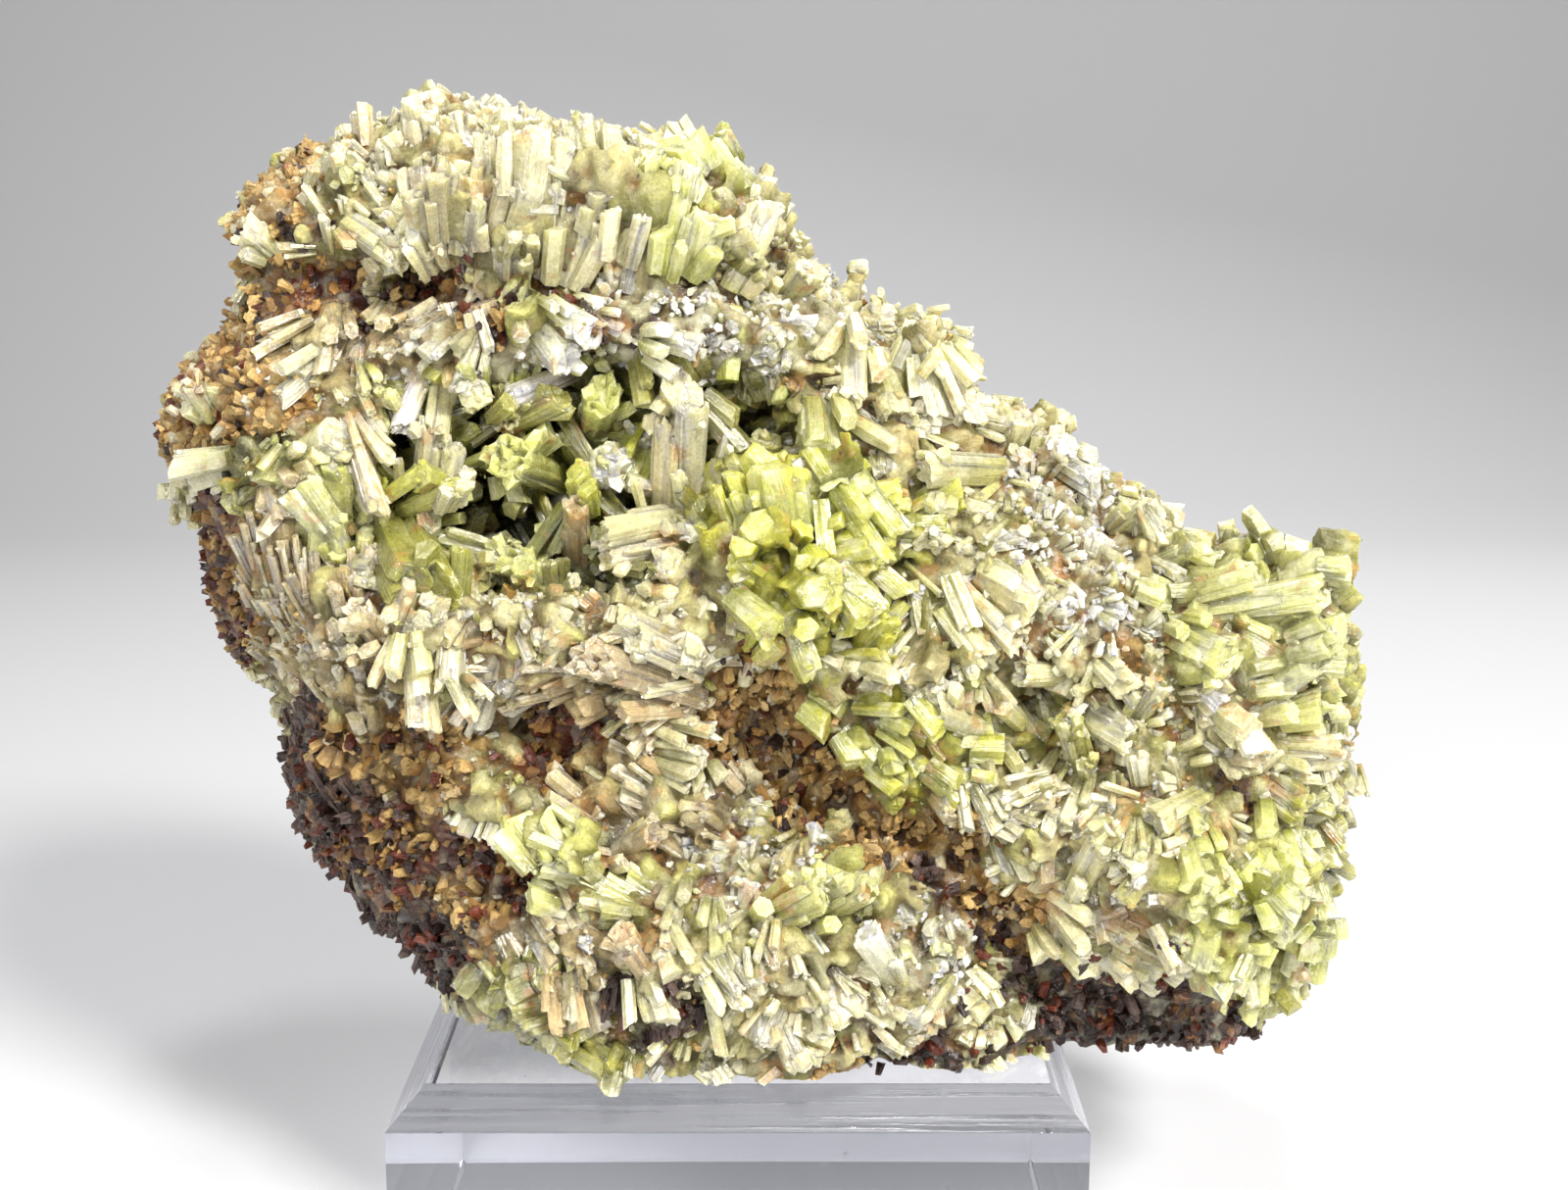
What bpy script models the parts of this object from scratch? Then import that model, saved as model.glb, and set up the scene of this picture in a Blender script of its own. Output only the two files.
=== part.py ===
"""A pyromorphite specimen resting on a bevelled block of clear acrylic.

The specimen is one grown-together mass: iron-stained matrix with hexagonal crystals fused to it.
The large hollow in its face is lined by a crust with crystals of its own.

Places on the specimen are given as they are seen from in front: x and z in millimetres, where the
line of sight from EYE crosses the plane y = SIGHT_Y. The mass is shaped in that flat frame, with y
as its depth, and is then opened out from EYE, so that what lies deeper grows with its distance.
"""

import math
import random
from collections import namedtuple

import bmesh
import bpy
import numpy as np
from mathutils import Matrix, Vector, noise

MM = 0.001

# Acrylic block
BLOCK_WIDTH = 76.0
BLOCK_HEIGHT = 32.0
BLOCK_BEVEL = 3.9
BLOCK_EDGE = 0.4
REST_GAP = 0.3

# Where the specimen is seen from
EYE = Vector((5.0, -233.0, 127.0))
SIGHT_Y = -20.0

# Depths of the mass, in the flat frame: its face leans forward towards its foot
FOOT_Z, TOP_Z = 24.0, 136.0
FACE_AT_FOOT, FACE_AT_TOP = -34.0, -17.0
MIDDLE_Y, MIDDLE_AT_FOOT = -5.0, -26.0
UNDERSIDE_Z = 52.0
BACK_Y = 16.0
EDGE_HALF = 4.5
EDGE_ROUND = 12.0

# Surface of the mass
VOXEL = 2.2
BLANK_HALF = 9.0
MATRIX_TRIANGLES = 3100
KNOB_SIZE, KNOB_HEIGHT = 9.0, 3.2
LUMP_SIZE, LUMP_HEIGHT = 15.0, 2.4
CHIP_SIZE, CHIP_HEIGHT = 3.4, 0.8

# Crystals
CRYSTAL_SIDES = 6
FOOT_TAPER = 0.78
FOOT_SINK = 1.8
STAND_OUT = 0.4
SEED = 7

# Crystals round the edge of the back
MASS_CENTRE = (0.0, 82.0)
BACK_STEP = 4
BACK_LOWEST = 60.0
BACK_INSET = (5.0, 10.0)
BACK_LENGTH = (4.5, 6.5)
BACK_CRYSTAL = (3.6, 5.2)

# The hollow and its crust
HOLLOW_CENTRE = (-18.0, 97.0)
HOLLOW_FLOOR = -3.0
HOLLOW_WALL_POWER = 0.72
HOLLOW_AROUND, HOLLOW_RINGS = 30, 10
HOLLOW_LUMP = 1.6
RIM_RAGGED, RIM_DEPTH = 5.0, 1.6
PLUG_FRONT = -55.0
CRUST_GAP = 0.3
CRUST_THICKNESS = 1.5

# The outline of the mass, from the notch at its upper left, clockwise. Its foot runs on below
# the resting face, which cuts it off.
OUTLINE = [
    (-51, 119), (-53, 123.5), (-52, 127), (-49, 129), (-45, 131.5), (-40, 132), (-36, 135.5),
    (-33, 136.5), (-29.5, 136.3), (-27, 135), (-23, 134.3), (-21.5, 135), (-18, 133), (-10, 132),
    (-4, 129.7), (-0.5, 129.3), (2.5, 127), (5, 124), (7, 119.3), (9.5, 118), (12.5, 115.5),
    (16.5, 111.8), (20, 112.3), (22.7, 111), (23.5, 108.3), (25.2, 105.3), (27, 105.2), (28.5, 102.8),
    (30.5, 103), (35.4, 100), (38.4, 98.6), (42, 94), (45.8, 93.5), (49.3, 89.8), (54, 89.1),
    (57, 89.5), (60, 88), (63, 84), (64.5, 80), (66, 75), (66.4, 70), (66.6, 66), (67, 62.5),
    (65, 58.5), (65, 56.5), (66.6, 51.5), (66.6, 47), (65.5, 41), (62.5, 39.5), (62.5, 35),
    (59.5, 31.6), (55.5, 28.6), (50, 29), (43, 30), (39, 31.5), (34, 30), (30.5, 27), (29, 16), (-15, 16),
    (-19.5, 27.5), (-24.4, 31.6), (-26.5, 34.4), (-31, 36), (-35, 39), (-39.3, 44), (-43, 48),
    (-45.5, 52.5), (-48.8, 54), (-50.3, 61), (-51.5, 67), (-50, 70), (-53.8, 74.5), (-56.7, 78.5),
    (-58.3, 84), (-58.3, 90), (-60.5, 96), (-62.3, 101), (-61.8, 104.5), (-59, 109), (-55, 112.3),
    (-53, 116),
]

# Swells and hollows of the face: wide and high are half-widths, turn is in degrees, rise is
# towards the viewer
Swell = namedtuple("Swell", "x z wide high turn rise")
FACE_SWELLS = {
    "top lobe": Swell(-26, 126, 20, 8, -8, 4),
    "crack band": Swell(-35, 117, 15, 2.4, 0, -5),
    "druse ledge": Swell(-7, 113, 16, 3.2, -2, 6),
    "upper right slope": Swell(30, 101, 26, 5, -42, -3),
    "ochre bulge": Swell(-52, 106, 7, 7, 0, 5),
    "left flank": Swell(-48, 86, 5, 14, 4, 3),
    "left rim ledge": Swell(-36, 79.5, 9, 3.5, -10, 6),
    "lower rim ledge": Swell(-16, 78, 14, 3.4, -4, 6.5),
    "recess under the rim": Swell(-24, 67, 11, 4, -25, -6.5),
    "purple flank": Swell(-44, 60, 7, 9, 20, -4),
    "rust band": Swell(-38, 53, 8, 3, -8, -3),
    "lower left hole": Swell(-37, 47, 3.2, 3.2, 0, -7),
    "upper valley": Swell(3, 67, 5, 7, 0, -7),
    "middle valley": Swell(16, 57, 16, 4.5, -30, -6),
    "lower valley": Swell(31, 43, 8, 5, -35, -6),
    "belly": Swell(-4, 42, 22, 9, 0, 4.5),
    "lower left tongue": Swell(-18, 33, 7, 6, -35, 1.5),
    "cream lump": Swell(18, 35, 6, 5, 0, 2.5),
    "pink lump": Swell(-8, 36, 4, 4, 0, 2.5),
    "green heart": Swell(7, 87, 9, 9, 0, 4),
    "long ridge": Swell(23, 79, 5, 9, -15, 4),
    "right middle": Swell(40, 81, 12, 10, 0, 2),
    "right hollow": Swell(33.5, 70, 4, 4.5, 0, -7),
    "right shoulder": Swell(58, 72, 10, 12, 0, 4),
    "right slot": Swell(48, 84, 3.4, 1.8, 0, -4),
    "lime mass": Swell(56, 48, 11, 8, 0, 7),
    "pale slab": Swell(45, 53, 8, 5, -20, 4),
    "recess under the lime": Swell(47, 35, 11, 3.5, 0, -3),
}
# The back: rise is away from the viewer
BACK_SWELLS = {
    "upper back": Swell(-16, 104, 30, 20, -25, 5),
    "back foot": Swell(2, 40, 26, 16, 0, 4),
    "right back slope": Swell(54, 66, 20, 24, 0, -9),
    "right back foot": Swell(52, 32, 15, 13, 0, -26),
    "left back slope": Swell(-48, 62, 12, 22, 0, -6),
    "back dent": Swell(16, 74, 12, 9, 20, -4),
}

# Rim of the hollow, clockwise from its upper left
HOLLOW_RIM = [
    (-40, 106), (-33, 109.5), (-24, 108.6), (-15, 110), (-7, 109), (1, 108), (8, 105.5), (7.5, 97),
    (1, 95.3), (-2.5, 91), (-4, 86.5), (-12, 83.5), (-21, 84), (-30, 82.5), (-37.5, 83.5),
    (-41, 90), (-42.5, 99),
]

# Crystals: foot, tip, width of one prism, how far the tip stands out, and how many side by side
Crystal = namedtuple("Crystal", "x z to_x to_z width rise count")
FACE_CRYSTALS = {
    "top lobe": [
        (-24.3, 122, -22, 128, 3.6, 3, 1), (-19, 118.5, -16.5, 127.5, 4, 3, 2),
        (-13.6, 120.5, -12, 128, 3.6, 2.5, 2), (-6.5, 119.5, -4.5, 127, 4, 2.5, 2),
        (-1.5, 118, 0.5, 122.5, 3.6, 3, 2), (1, 121, 3, 126, 3.7, 2, 1),
        (-40.5, 123.5, -35.5, 120, 3.4, 3, 1), (-35, 122.6, -30, 125.5, 2.6, 3, 2),
        (-27.5, 122, -28.6, 129, 3, 2.5, 1), (-43, 128, -41, 131, 3.7, 1, 1),
    ],
    "under the crack": [
        (-31.6, 115, -30.4, 109.5, 2.6, 3, 1), (-28, 115, -26, 109, 3, 3, 2),
        (-20, 113.5, -17, 110.6, 3.6, 3.5, 2), (-9, 111.8, -4, 110.8, 2.8, 2.5, 1),
    ],
    "upper right slope": [
        (12, 112, 12, 104.5, 3.5, 3, 1), (15.5, 108.5, 17.5, 103, 3.6, 3.5, 1),
        (21, 110, 24, 102, 3.4, 2, 2), (29.5, 100, 31, 103.4, 3.5, 1.5, 1),
        (12, 102, 18.8, 96, 3.4, 3.5, 2), (27.5, 97.5, 20, 97.8, 3.8, 3, 1),
        (11, 93.8, 18.5, 94.6, 3.4, 3, 1), (11, 95, 16, 87, 3.1, 4, 3),
        (36, 97.5, 39.4, 95.5, 3.5, 2, 1), (42, 90.5, 45.6, 93, 3.5, 1.5, 1), (22, 93, 21, 89, 3.8, 3, 1),
    ],
    "beside the hollow": [
        (9, 103, 10.4, 94.6, 4.8, 7, 1), (4.6, 84.4, -0.6, 88, 3, 3, 1), (8.8, 86, 9.4, 82.5, 7.3, 5, 1),
        (3, 94, 4.5, 89, 5.9, 3, 1), (-44, 88, -45, 92.6, 3.3, 3, 1), (-50.6, 95.5, -49.6, 91, 3.7, 2, 1),
        (-47, 99.5, -43.5, 101.4, 4, 3, 1), (13.8, 77, 16.2, 81.6, 4, 4, 1), (1, 78.5, 4, 82.5, 3.5, 3, 1),
        (-57.5, 104, -59.5, 107.4, 3, 1.5, 1),
    ],
    "lower rim": [
        (-5.5, 72.6, -17, 76.4, 4.4, 4, 1), (-5, 75.5, -12, 79, 3.2, 3, 1), (-36, 78.5, -35.6, 68, 3.4, 2, 1),
        (-32, 78.5, -32.5, 72.6, 3.1, 3, 1), (-8, 78.6, -14, 81, 3.3, 3, 1), (-40, 79, -42.5, 82, 3.3, 3, 1),
    ],
    "right of the hollow": [
        (21.5, 84.5, 24.6, 72.2, 3.5, 4, 2), (25.5, 83.6, 31, 78, 3.7, 4, 3),
        (38, 74.4, 31.4, 74.6, 3, 4, 1), (13.5, 75.6, 23.5, 71.6, 3.3, 3.5, 1),
        (29, 68, 21, 71.4, 3.9, 3.5, 1), (38.4, 64, 36.6, 69.6, 2.9, 4, 1),
        (38.5, 69.8, 44, 66.6, 3.1, 3.5, 1), (40.5, 76, 44, 72.5, 3, 3, 1),
        (31, 60.4, 35.5, 60.8, 3.5, 3, 1), (45, 70, 47.5, 74, 3, 3, 1),
    ],
    "right shoulder": [
        (56, 87, 57.6, 87.2, 5.3, 3.5, 1), (53, 82.6, 65.6, 85, 5.3, 2, 1), (59, 80, 63, 81.6, 4.2, 3, 1),
        (58.5, 72, 64.6, 77, 5.1, 3, 1), (61, 66.4, 68, 66, 2.6, 1.5, 1), (50, 78.6, 54.5, 76.4, 4.6, 3.5, 1),
        (56, 69, 58.6, 65, 3.3, 3, 1), (60, 61.5, 64, 58.8, 3.5, 2.5, 1), (47, 87, 50.5, 88.4, 3.7, 2, 1),
    ],
    "lower right": [
        (39, 49.6, 42.4, 57, 3.5, 4, 1), (50.5, 53.8, 44, 50.4, 3.7, 4, 1), (56, 51, 59, 46.5, 5.1, 3.5, 2),
        (60.5, 49, 63.6, 46, 4.6, 3, 1), (55, 43.6, 57.6, 40, 4.8, 3.5, 1), (52, 44.8, 51, 41.4, 4.2, 3.5, 1),
        (37, 48, 45.4, 42.6, 3.2, 4, 1), (36, 44.6, 40.6, 39.4, 4.2, 3, 1), (44, 41.4, 49, 38.6, 3.5, 3, 1),
        (61, 39.6, 61.4, 34.6, 4.2, 2, 1), (63.6, 57, 65.4, 51, 3.5, 1, 1), (52, 60, 47, 57, 3.5, 4, 1),
    ],
    "belly": [
        (4.8, 35, 2.7, 29.6, 2.8, 3, 1), (4.4, 33, 6.8, 27.6, 3.4, 2, 1), (4.5, 46, 9.4, 48.8, 3.7, 3, 1),
        (9.6, 45.6, 15, 49, 3.1, 3.5, 1), (17.2, 39, 14.4, 44, 3.1, 3.5, 1), (-21.5, 42.4, -22.5, 37, 3, 3, 1),
        (-20, 30.6, -25.4, 35, 3.7, 1.5, 1), (-19.4, 31, -14, 27.4, 4.4, 2, 1),
        (-24.6, 57.4, -22.4, 52, 3, 3.5, 1), (-21.5, 57.4, -17.4, 52.2, 2.8, 3.5, 1),
        (-13.4, 54, -9.6, 56, 3.3, 3, 1), (-11, 40, -13.6, 44, 3.1, 3, 1), (9, 38, 12.4, 33.4, 3.3, 3, 1),
    ],
    "upper edge": [
        (-33, 132.5, -33.4, 136.6, 3.7, 0, 1), (-22.8, 131.5, -22.2, 135, 2.9, 0, 1),
        (-6, 126.6, -5.4, 130, 3.4, 0, 1), (6, 116.6, 8.2, 119.2, 3.3, 0, 1), (18.6, 108, 21, 112, 3.5, 0, 2),
        (33, 97, 35.6, 100.4, 3.4, 0, 1), (49, 86, 51, 89.8, 3.3, 0, 1), (61.5, 69, 66, 72.4, 3.3, 0, 1),
        (62.5, 54, 66.2, 52.4, 3.3, 0, 1), (-50, 121, -52.6, 123.6, 3.3, 0, 1),
    ],
}
# Crystals in the hollow: rise is how far the tip stays behind the face around it
HOLLOW_CRYSTALS = [
    (-40.5, 108, -38.6, 101.6, 2.4, 1, 1), (-33.5, 109, -36.7, 101.8, 2.2, 0, 1),
    (-31.6, 109, -33, 100.6, 2.8, 1, 1), (-28.6, 108, -28.4, 105.6, 3.4, 0, 1),
    (-26.8, 106.4, -24.8, 102.8, 2.3, 1, 1), (-17.5, 108.4, -25.2, 105, 2.8, 1, 1),
    (-25, 103, -19.5, 105.6, 3.6, 7, 1), (-42, 102.4, -39.4, 92.4, 2.7, -1, 1),
    (-39.8, 91.6, -31, 95.8, 2.7, 0, 1), (-33.4, 95, -32, 102.6, 2.9, 1, 2),
    (-38, 90.6, -33, 84.4, 5.4, 3, 1), (-33, 91, -30.4, 85.4, 4.4, 3.5, 1),
    (-18, 95.6, -25.4, 99, 4.6, 2, 1), (-30.4, 89.6, -25, 88.2, 2.7, 2, 1),
    (-20.5, 85.4, -27.4, 87.6, 3, 1, 1), (-16.8, 98, -14.6, 106, 4.6, 4, 1),
    (-14.6, 92, -14.4, 98.6, 4.2, 2, 1), (-9.4, 97.4, -10.6, 101.6, 2.4, 3, 1),
    (-8.6, 92, -7.8, 103.4, 3.2, 0, 1), (-5.6, 91.6, -5, 105, 3.4, -1, 1), (-7, 104, -6, 106, 4.6, 0, 1),
    (-3, 92.6, -0.6, 101.4, 2.4, 0, 1), (-3.6, 92.4, -15, 90.4, 3, -2, 1), (-4, 89.8, -15, 87.8, 3, -1, 1),
    (-17.6, 85.4, -17.8, 94, 3, -1, 1), (-6.4, 83.6, -8, 87.4, 3.2, 0, 1), (-22.6, 83.6, -24, 87, 3, 1, 1),
    (-34, 83.4, -35.4, 86.6, 3, 1, 1), (4.6, 97, 3, 101, 3, 6, 1),
]

BLOCK_COLOUR = (0.95, 0.97, 1.0, 1.0)
SPECIMEN_COLOUR = (0.66, 0.66, 0.30, 1.0)
CRUST_COLOUR = (0.60, 0.64, 0.22, 1.0)


def clear_scene():
    for obj in list(bpy.data.objects):
        bpy.data.objects.remove(obj, do_unlink=True)


def material(name, colour, roughness, transmission=0.0):
    made = bpy.data.materials.new(name)
    made.use_nodes = True
    shader = made.node_tree.nodes["Principled BSDF"]
    shader.inputs["Base Color"].default_value = colour
    shader.inputs["Roughness"].default_value = roughness
    shader.inputs["Transmission Weight"].default_value = transmission
    return made


def add_object(name, mesh, helper=False):
    obj = bpy.data.objects.new(name, mesh)
    bpy.context.collection.objects.link(obj)
    if helper:
        obj.hide_render = True
        obj.display_type = "WIRE"
    return obj


def mesh_from(bm, name):
    bmesh.ops.recalc_face_normals(bm, faces=bm.faces)
    mesh = bpy.data.meshes.new(name)
    bm.to_mesh(mesh)
    bm.free()
    return mesh


def evaluated_mesh(obj):
    graph = bpy.context.evaluated_depsgraph_get()
    return bpy.data.meshes.new_from_object(obj.evaluated_get(graph))


def opened_out(point):
    """The real place, in metres, of a point (x, depth, z) of the flat frame."""
    spread = (point.y - EYE.y) / (SIGHT_Y - EYE.y)
    x = EYE.x + (point.x - EYE.x) * spread
    z = EYE.z + (point.z - EYE.z) * spread
    return Vector((x, point.y, z)) * MM


def swelling(x, z, swells):
    total = 0.0
    for swell in swells.values():
        turn = math.radians(swell.turn)
        right, up = x - swell.x, z - swell.z
        along = (right * math.cos(turn) + up * math.sin(turn)) / swell.wide
        across = (up * math.cos(turn) - right * math.sin(turn)) / swell.high
        total += swell.rise * math.exp(-along * along - across * across)
    return total


def face_depth(x, z):
    """Depth of the front face, before its edge is rounded off."""
    lean = (z - FOOT_Z) / (TOP_Z - FOOT_Z)
    return FACE_AT_FOOT + (FACE_AT_TOP - FACE_AT_FOOT) * lean - swelling(x, z, FACE_SWELLS)


def back_depth(x, z):
    return BACK_Y + swelling(x, z, BACK_SWELLS)


def distance_to_outline(points):
    """Distance of each (x, z) row to the nearest stretch of the outline."""
    corners = np.array(OUTLINE, float)
    nearest = np.full(len(points), np.inf)
    for start, end in zip(corners, np.roll(corners, -1, axis=0)):
        run = end - start
        share = np.clip((points - start) @ run / (run @ run), 0, 1)
        nearest = np.minimum(nearest, np.linalg.norm(points - start - share[:, None] * run, axis=1))
    return nearest


def edge_rounding(distance):
    """0 at the outline, 1 where the face is at its full depth."""
    inward = np.clip(distance / EDGE_ROUND, 0, 1)
    return np.sqrt(1 - (1 - inward) ** 2)


def middle_depth(z):
    """Depth of the mass's middle, which comes forward towards its foot, so that the underside slopes."""
    lift = min(max((UNDERSIDE_Z - z) / (UNDERSIDE_Z - FOOT_Z), 0.0), 1.0)
    return MIDDLE_Y + (MIDDLE_AT_FOOT - MIDDLE_Y) * lift


def surface_depth(x, z):
    """Depth of the front surface, with its rounded edge."""
    rounding = float(edge_rounding(distance_to_outline(np.array([[x, z]])))[0])
    middle = middle_depth(z)
    reach = max(middle - face_depth(x, z), EDGE_HALF)
    return middle - EDGE_HALF - (reach - EDGE_HALF) * rounding


def ruggedness(place):
    """Height of the broken surface: rounded knobs with creases between them, lumps and chips."""
    nearest = noise.voronoi(place / KNOB_SIZE)[0][0]
    knobs = (0.45 - nearest) * KNOB_HEIGHT
    lumps = noise.noise(place / LUMP_SIZE) * LUMP_HEIGHT
    chips = noise.noise(place / CHIP_SIZE) * CHIP_HEIGHT
    return knobs + lumps + chips


def outline_blank():
    """The outline as an even slab of small faces, in the flat frame."""
    bm = bmesh.new()
    rim = [bm.verts.new((x, -BLANK_HALF, z)) for x, z in OUTLINE]
    face = bm.faces.new(rim)
    pushed = bmesh.ops.extrude_face_region(bm, geom=[face])["geom"]
    moved = [item for item in pushed if isinstance(item, bmesh.types.BMVert)]
    bmesh.ops.translate(bm, verts=moved, vec=(0, 2 * BLANK_HALF, 0))
    slab = add_object("slab", mesh_from(bm, "slab"), helper=True)
    remesh = slab.modifiers.new("even", "REMESH")
    remesh.mode = "VOXEL"
    remesh.voxel_size = VOXEL
    mesh = evaluated_mesh(slab)
    bpy.data.objects.remove(slab)
    return mesh


def shape_matrix(mesh):
    """Push the slab's faces to the depths of the rock, and roughen them."""
    flat = np.array([(v.co.x, v.co.z) for v in mesh.vertices])
    rounding = edge_rounding(distance_to_outline(flat))
    for vertex, share in zip(mesh.vertices, rounding):
        x, y, z = vertex.co
        side = max(-1.0, min(1.0, y / BLANK_HALF))
        middle = middle_depth(z)
        reach = middle - face_depth(x, z) if side < 0 else back_depth(x, z) - middle
        half = EDGE_HALF + (max(reach, EDGE_HALF) - EDGE_HALF) * share
        vertex.co.y = middle + side * half
    bm = bmesh.new()
    bm.from_mesh(mesh)
    bm.normal_update()
    moves = [(vertex, vertex.normal * ruggedness(vertex.co)) for vertex in bm.verts]
    for vertex, move in moves:
        vertex.co += move
    return mesh_from(bm, "matrix")


def thinned(mesh, triangles):
    """The mesh with about this many triangles."""
    mesh.calc_loop_triangles()
    obj = add_object("thinning", mesh, helper=True)
    decimate = obj.modifiers.new("fewer faces", "DECIMATE")
    decimate.ratio = triangles / len(mesh.loop_triangles)
    decimate.use_collapse_triangulate = True
    made = evaluated_mesh(obj)
    bpy.data.objects.remove(obj)
    return made


def open_out_mesh(mesh):
    for vertex in mesh.vertices:
        vertex.co = opened_out(vertex.co)


def prism(foot, tip, width, draw):
    """A six-sided prism, a little narrower at its foot, with a flat end."""
    axis = tip - foot
    turn = axis.to_track_quat("Z", "Y").to_matrix().to_4x4()
    spin = Matrix.Rotation(draw.uniform(0, math.tau / CRYSTAL_SIDES), 4, "Z")
    bm = bmesh.new()
    bmesh.ops.create_cone(
        bm, cap_ends=True, segments=CRYSTAL_SIDES, radius1=width / 2 * FOOT_TAPER, radius2=width / 2,
        depth=axis.length, matrix=Matrix.Translation((foot + tip) / 2) @ turn @ spin)
    mesh = mesh_from(bm, "crystal")
    open_out_mesh(mesh)
    return mesh


def bundle(crystal, foot_y, tip_y, draw):
    """One crystal, or several side by side with stepped ends."""
    prisms = []
    foot = Vector((crystal.x, foot_y, crystal.z))
    tip = Vector((crystal.to_x, tip_y, crystal.to_z))
    across = (tip - foot).cross(Vector((0, 1, 0))).normalized()
    for place in range(crystal.count):
        beside = (place - (crystal.count - 1) / 2) * 0.78 * crystal.width
        shift = across * beside + Vector((0, draw.uniform(-0.6, 0.6), 0))
        length = 1.0 if place == crystal.count // 2 else draw.uniform(0.72, 0.95)
        splay = across * beside * 0.25
        end = foot + shift + (tip + splay - foot) * length
        prisms.append(prism(foot + shift * 0.7, end, crystal.width * draw.uniform(0.9, 1.08), draw))
    return prisms


def back_crystals(draw):
    """Stubby crystals round the upper edge of the back, pointing away from the middle."""
    prisms = []
    for start, end in zip(OUTLINE[::BACK_STEP], OUTLINE[1::BACK_STEP]):
        edge = (Vector(start) + Vector(end)) / 2
        if edge.y < BACK_LOWEST:
            continue
        outward = (edge - Vector(MASS_CENTRE)).normalized()
        spot = edge - outward * draw.uniform(*BACK_INSET)
        rounding = float(edge_rounding(distance_to_outline(np.array([spot])))[0])
        middle = middle_depth(spot.y)
        level = middle + EDGE_HALF + (back_depth(spot.x, spot.y) - middle - EDGE_HALF) * rounding
        foot = Vector((spot.x, level - FOOT_SINK, spot.y))
        lean = Vector((outward.x, draw.uniform(0.6, 1.6), outward.y)).normalized()
        tip = foot + lean * draw.uniform(*BACK_LENGTH)
        prisms.append(prism(foot, tip, draw.uniform(*BACK_CRYSTAL), draw))
    return prisms


def face_crystals(draw):
    prisms = []
    for rows in FACE_CRYSTALS.values():
        for row in rows:
            crystal = Crystal(*row)
            level = surface_depth(crystal.x, crystal.z)
            tip_level = min(level, surface_depth(crystal.to_x, crystal.to_z))
            prisms += bundle(crystal, level + FOOT_SINK, tip_level - crystal.rise * STAND_OUT, draw)
    return prisms


def rim_radius(angle):
    """How far the hollow's rim is from its centre, in this direction."""
    corners = [Vector(corner) - Vector(HOLLOW_CENTRE) for corner in HOLLOW_RIM]
    turned = sorted((math.atan2(c.y, c.x), c.length) for c in corners)
    angles = np.array([a for a, _ in turned])
    radii = np.array([r for _, r in turned])
    ragged = noise.noise(Vector((math.cos(angle), math.sin(angle), 0)) * RIM_RAGGED) * RIM_DEPTH
    return float(np.interp(angle, angles, radii, period=math.tau)) + ragged


def hollow_point(angle, share, inset):
    """A point of the hollow's wall: share is 0 at the floor's middle and 1 at the rim."""
    sweep = share * math.pi / 2
    out = Vector((math.cos(angle), 0, math.sin(angle)))
    full = rim_radius(angle)
    rim = Vector((HOLLOW_CENTRE[0], 0, HOLLOW_CENTRE[1])) + out * full
    rim_y = surface_depth(rim.x, rim.z) + CRUST_GAP
    radius = max(full * math.sin(sweep) ** HOLLOW_WALL_POWER - inset, 0.0)
    place = Vector((HOLLOW_CENTRE[0], 0, HOLLOW_CENTRE[1])) + out * radius
    lump = HOLLOW_LUMP * noise.noise(Vector((rim.x, share * 20, rim.z)) / 6) * math.sin(2 * sweep)
    place += out * lump
    place.y = HOLLOW_FLOOR + (rim_y - HOLLOW_FLOOR) * (1 - math.cos(sweep)) - inset * math.cos(sweep)
    return place


def hollow_depth(x, z, inset):
    """Depth of the hollow's wall behind this place of the face."""
    right, up = x - HOLLOW_CENTRE[0], z - HOLLOW_CENTRE[1]
    share = min(math.hypot(right, up) / rim_radius(math.atan2(up, right)), 0.97)
    sweep = math.asin(share ** (1 / HOLLOW_WALL_POWER))
    return hollow_point(math.atan2(up, right), sweep / (math.pi / 2), inset).y


def hollow_shell(name, inset, fold):
    """A sphere pressed to the hollow's wall. Its front half is a plug, or folds back as a crust."""
    bm = bmesh.new()
    bmesh.ops.create_uvsphere(bm, u_segments=HOLLOW_AROUND, v_segments=HOLLOW_RINGS, radius=1)
    bmesh.ops.triangulate(bm, faces=bm.faces, quad_method="FIXED")
    for vertex in bm.verts:
        x, y, z = vertex.co
        angle = math.atan2(y, x)
        polar = math.acos(max(-1.0, min(1.0, -z)))
        share = min(polar, math.pi - polar) / (math.pi / 2)
        if polar < math.pi / 2 + 0.01:
            vertex.co = hollow_point(angle, share, inset)
        elif fold:
            vertex.co = hollow_point(angle, share, inset + CRUST_THICKNESS)
        else:
            vertex.co = hollow_point(angle, min(share * 1.12, 1.0), inset)
            vertex.co.y = PLUG_FRONT
    return mesh_from(bm, name)


def hollow_crystals(draw):
    prisms = []
    for row in HOLLOW_CRYSTALS:
        crystal = Crystal(*row)
        foot_y = hollow_depth(crystal.x, crystal.z, CRUST_GAP + CRUST_THICKNESS * 0.4)
        tip_y = face_depth(crystal.to_x, crystal.to_z) + crystal.rise
        prisms += bundle(crystal, max(foot_y, tip_y + 2), tip_y, draw)
    return prisms


def combine(obj, operation, other):
    """The EXACT solver leaves open edges on these meshes, so each step takes MANIFOLD."""
    step = obj.modifiers.new(operation, "BOOLEAN")
    step.operation = operation
    step.solver = "MANIFOLD"
    step.object = other
    obj.data = evaluated_mesh(obj)
    obj.modifiers.clear()


def grow(obj, prisms, limit=None):
    """Join the crystals to the object one at a time, cut to the limit where there is one."""
    for mesh in prisms:
        crystal = add_object("crystal", mesh, helper=True)
        if limit:
            combine(crystal, "INTERSECT", limit)
        combine(obj, "UNION", crystal)
        bpy.data.objects.remove(crystal)


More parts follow.
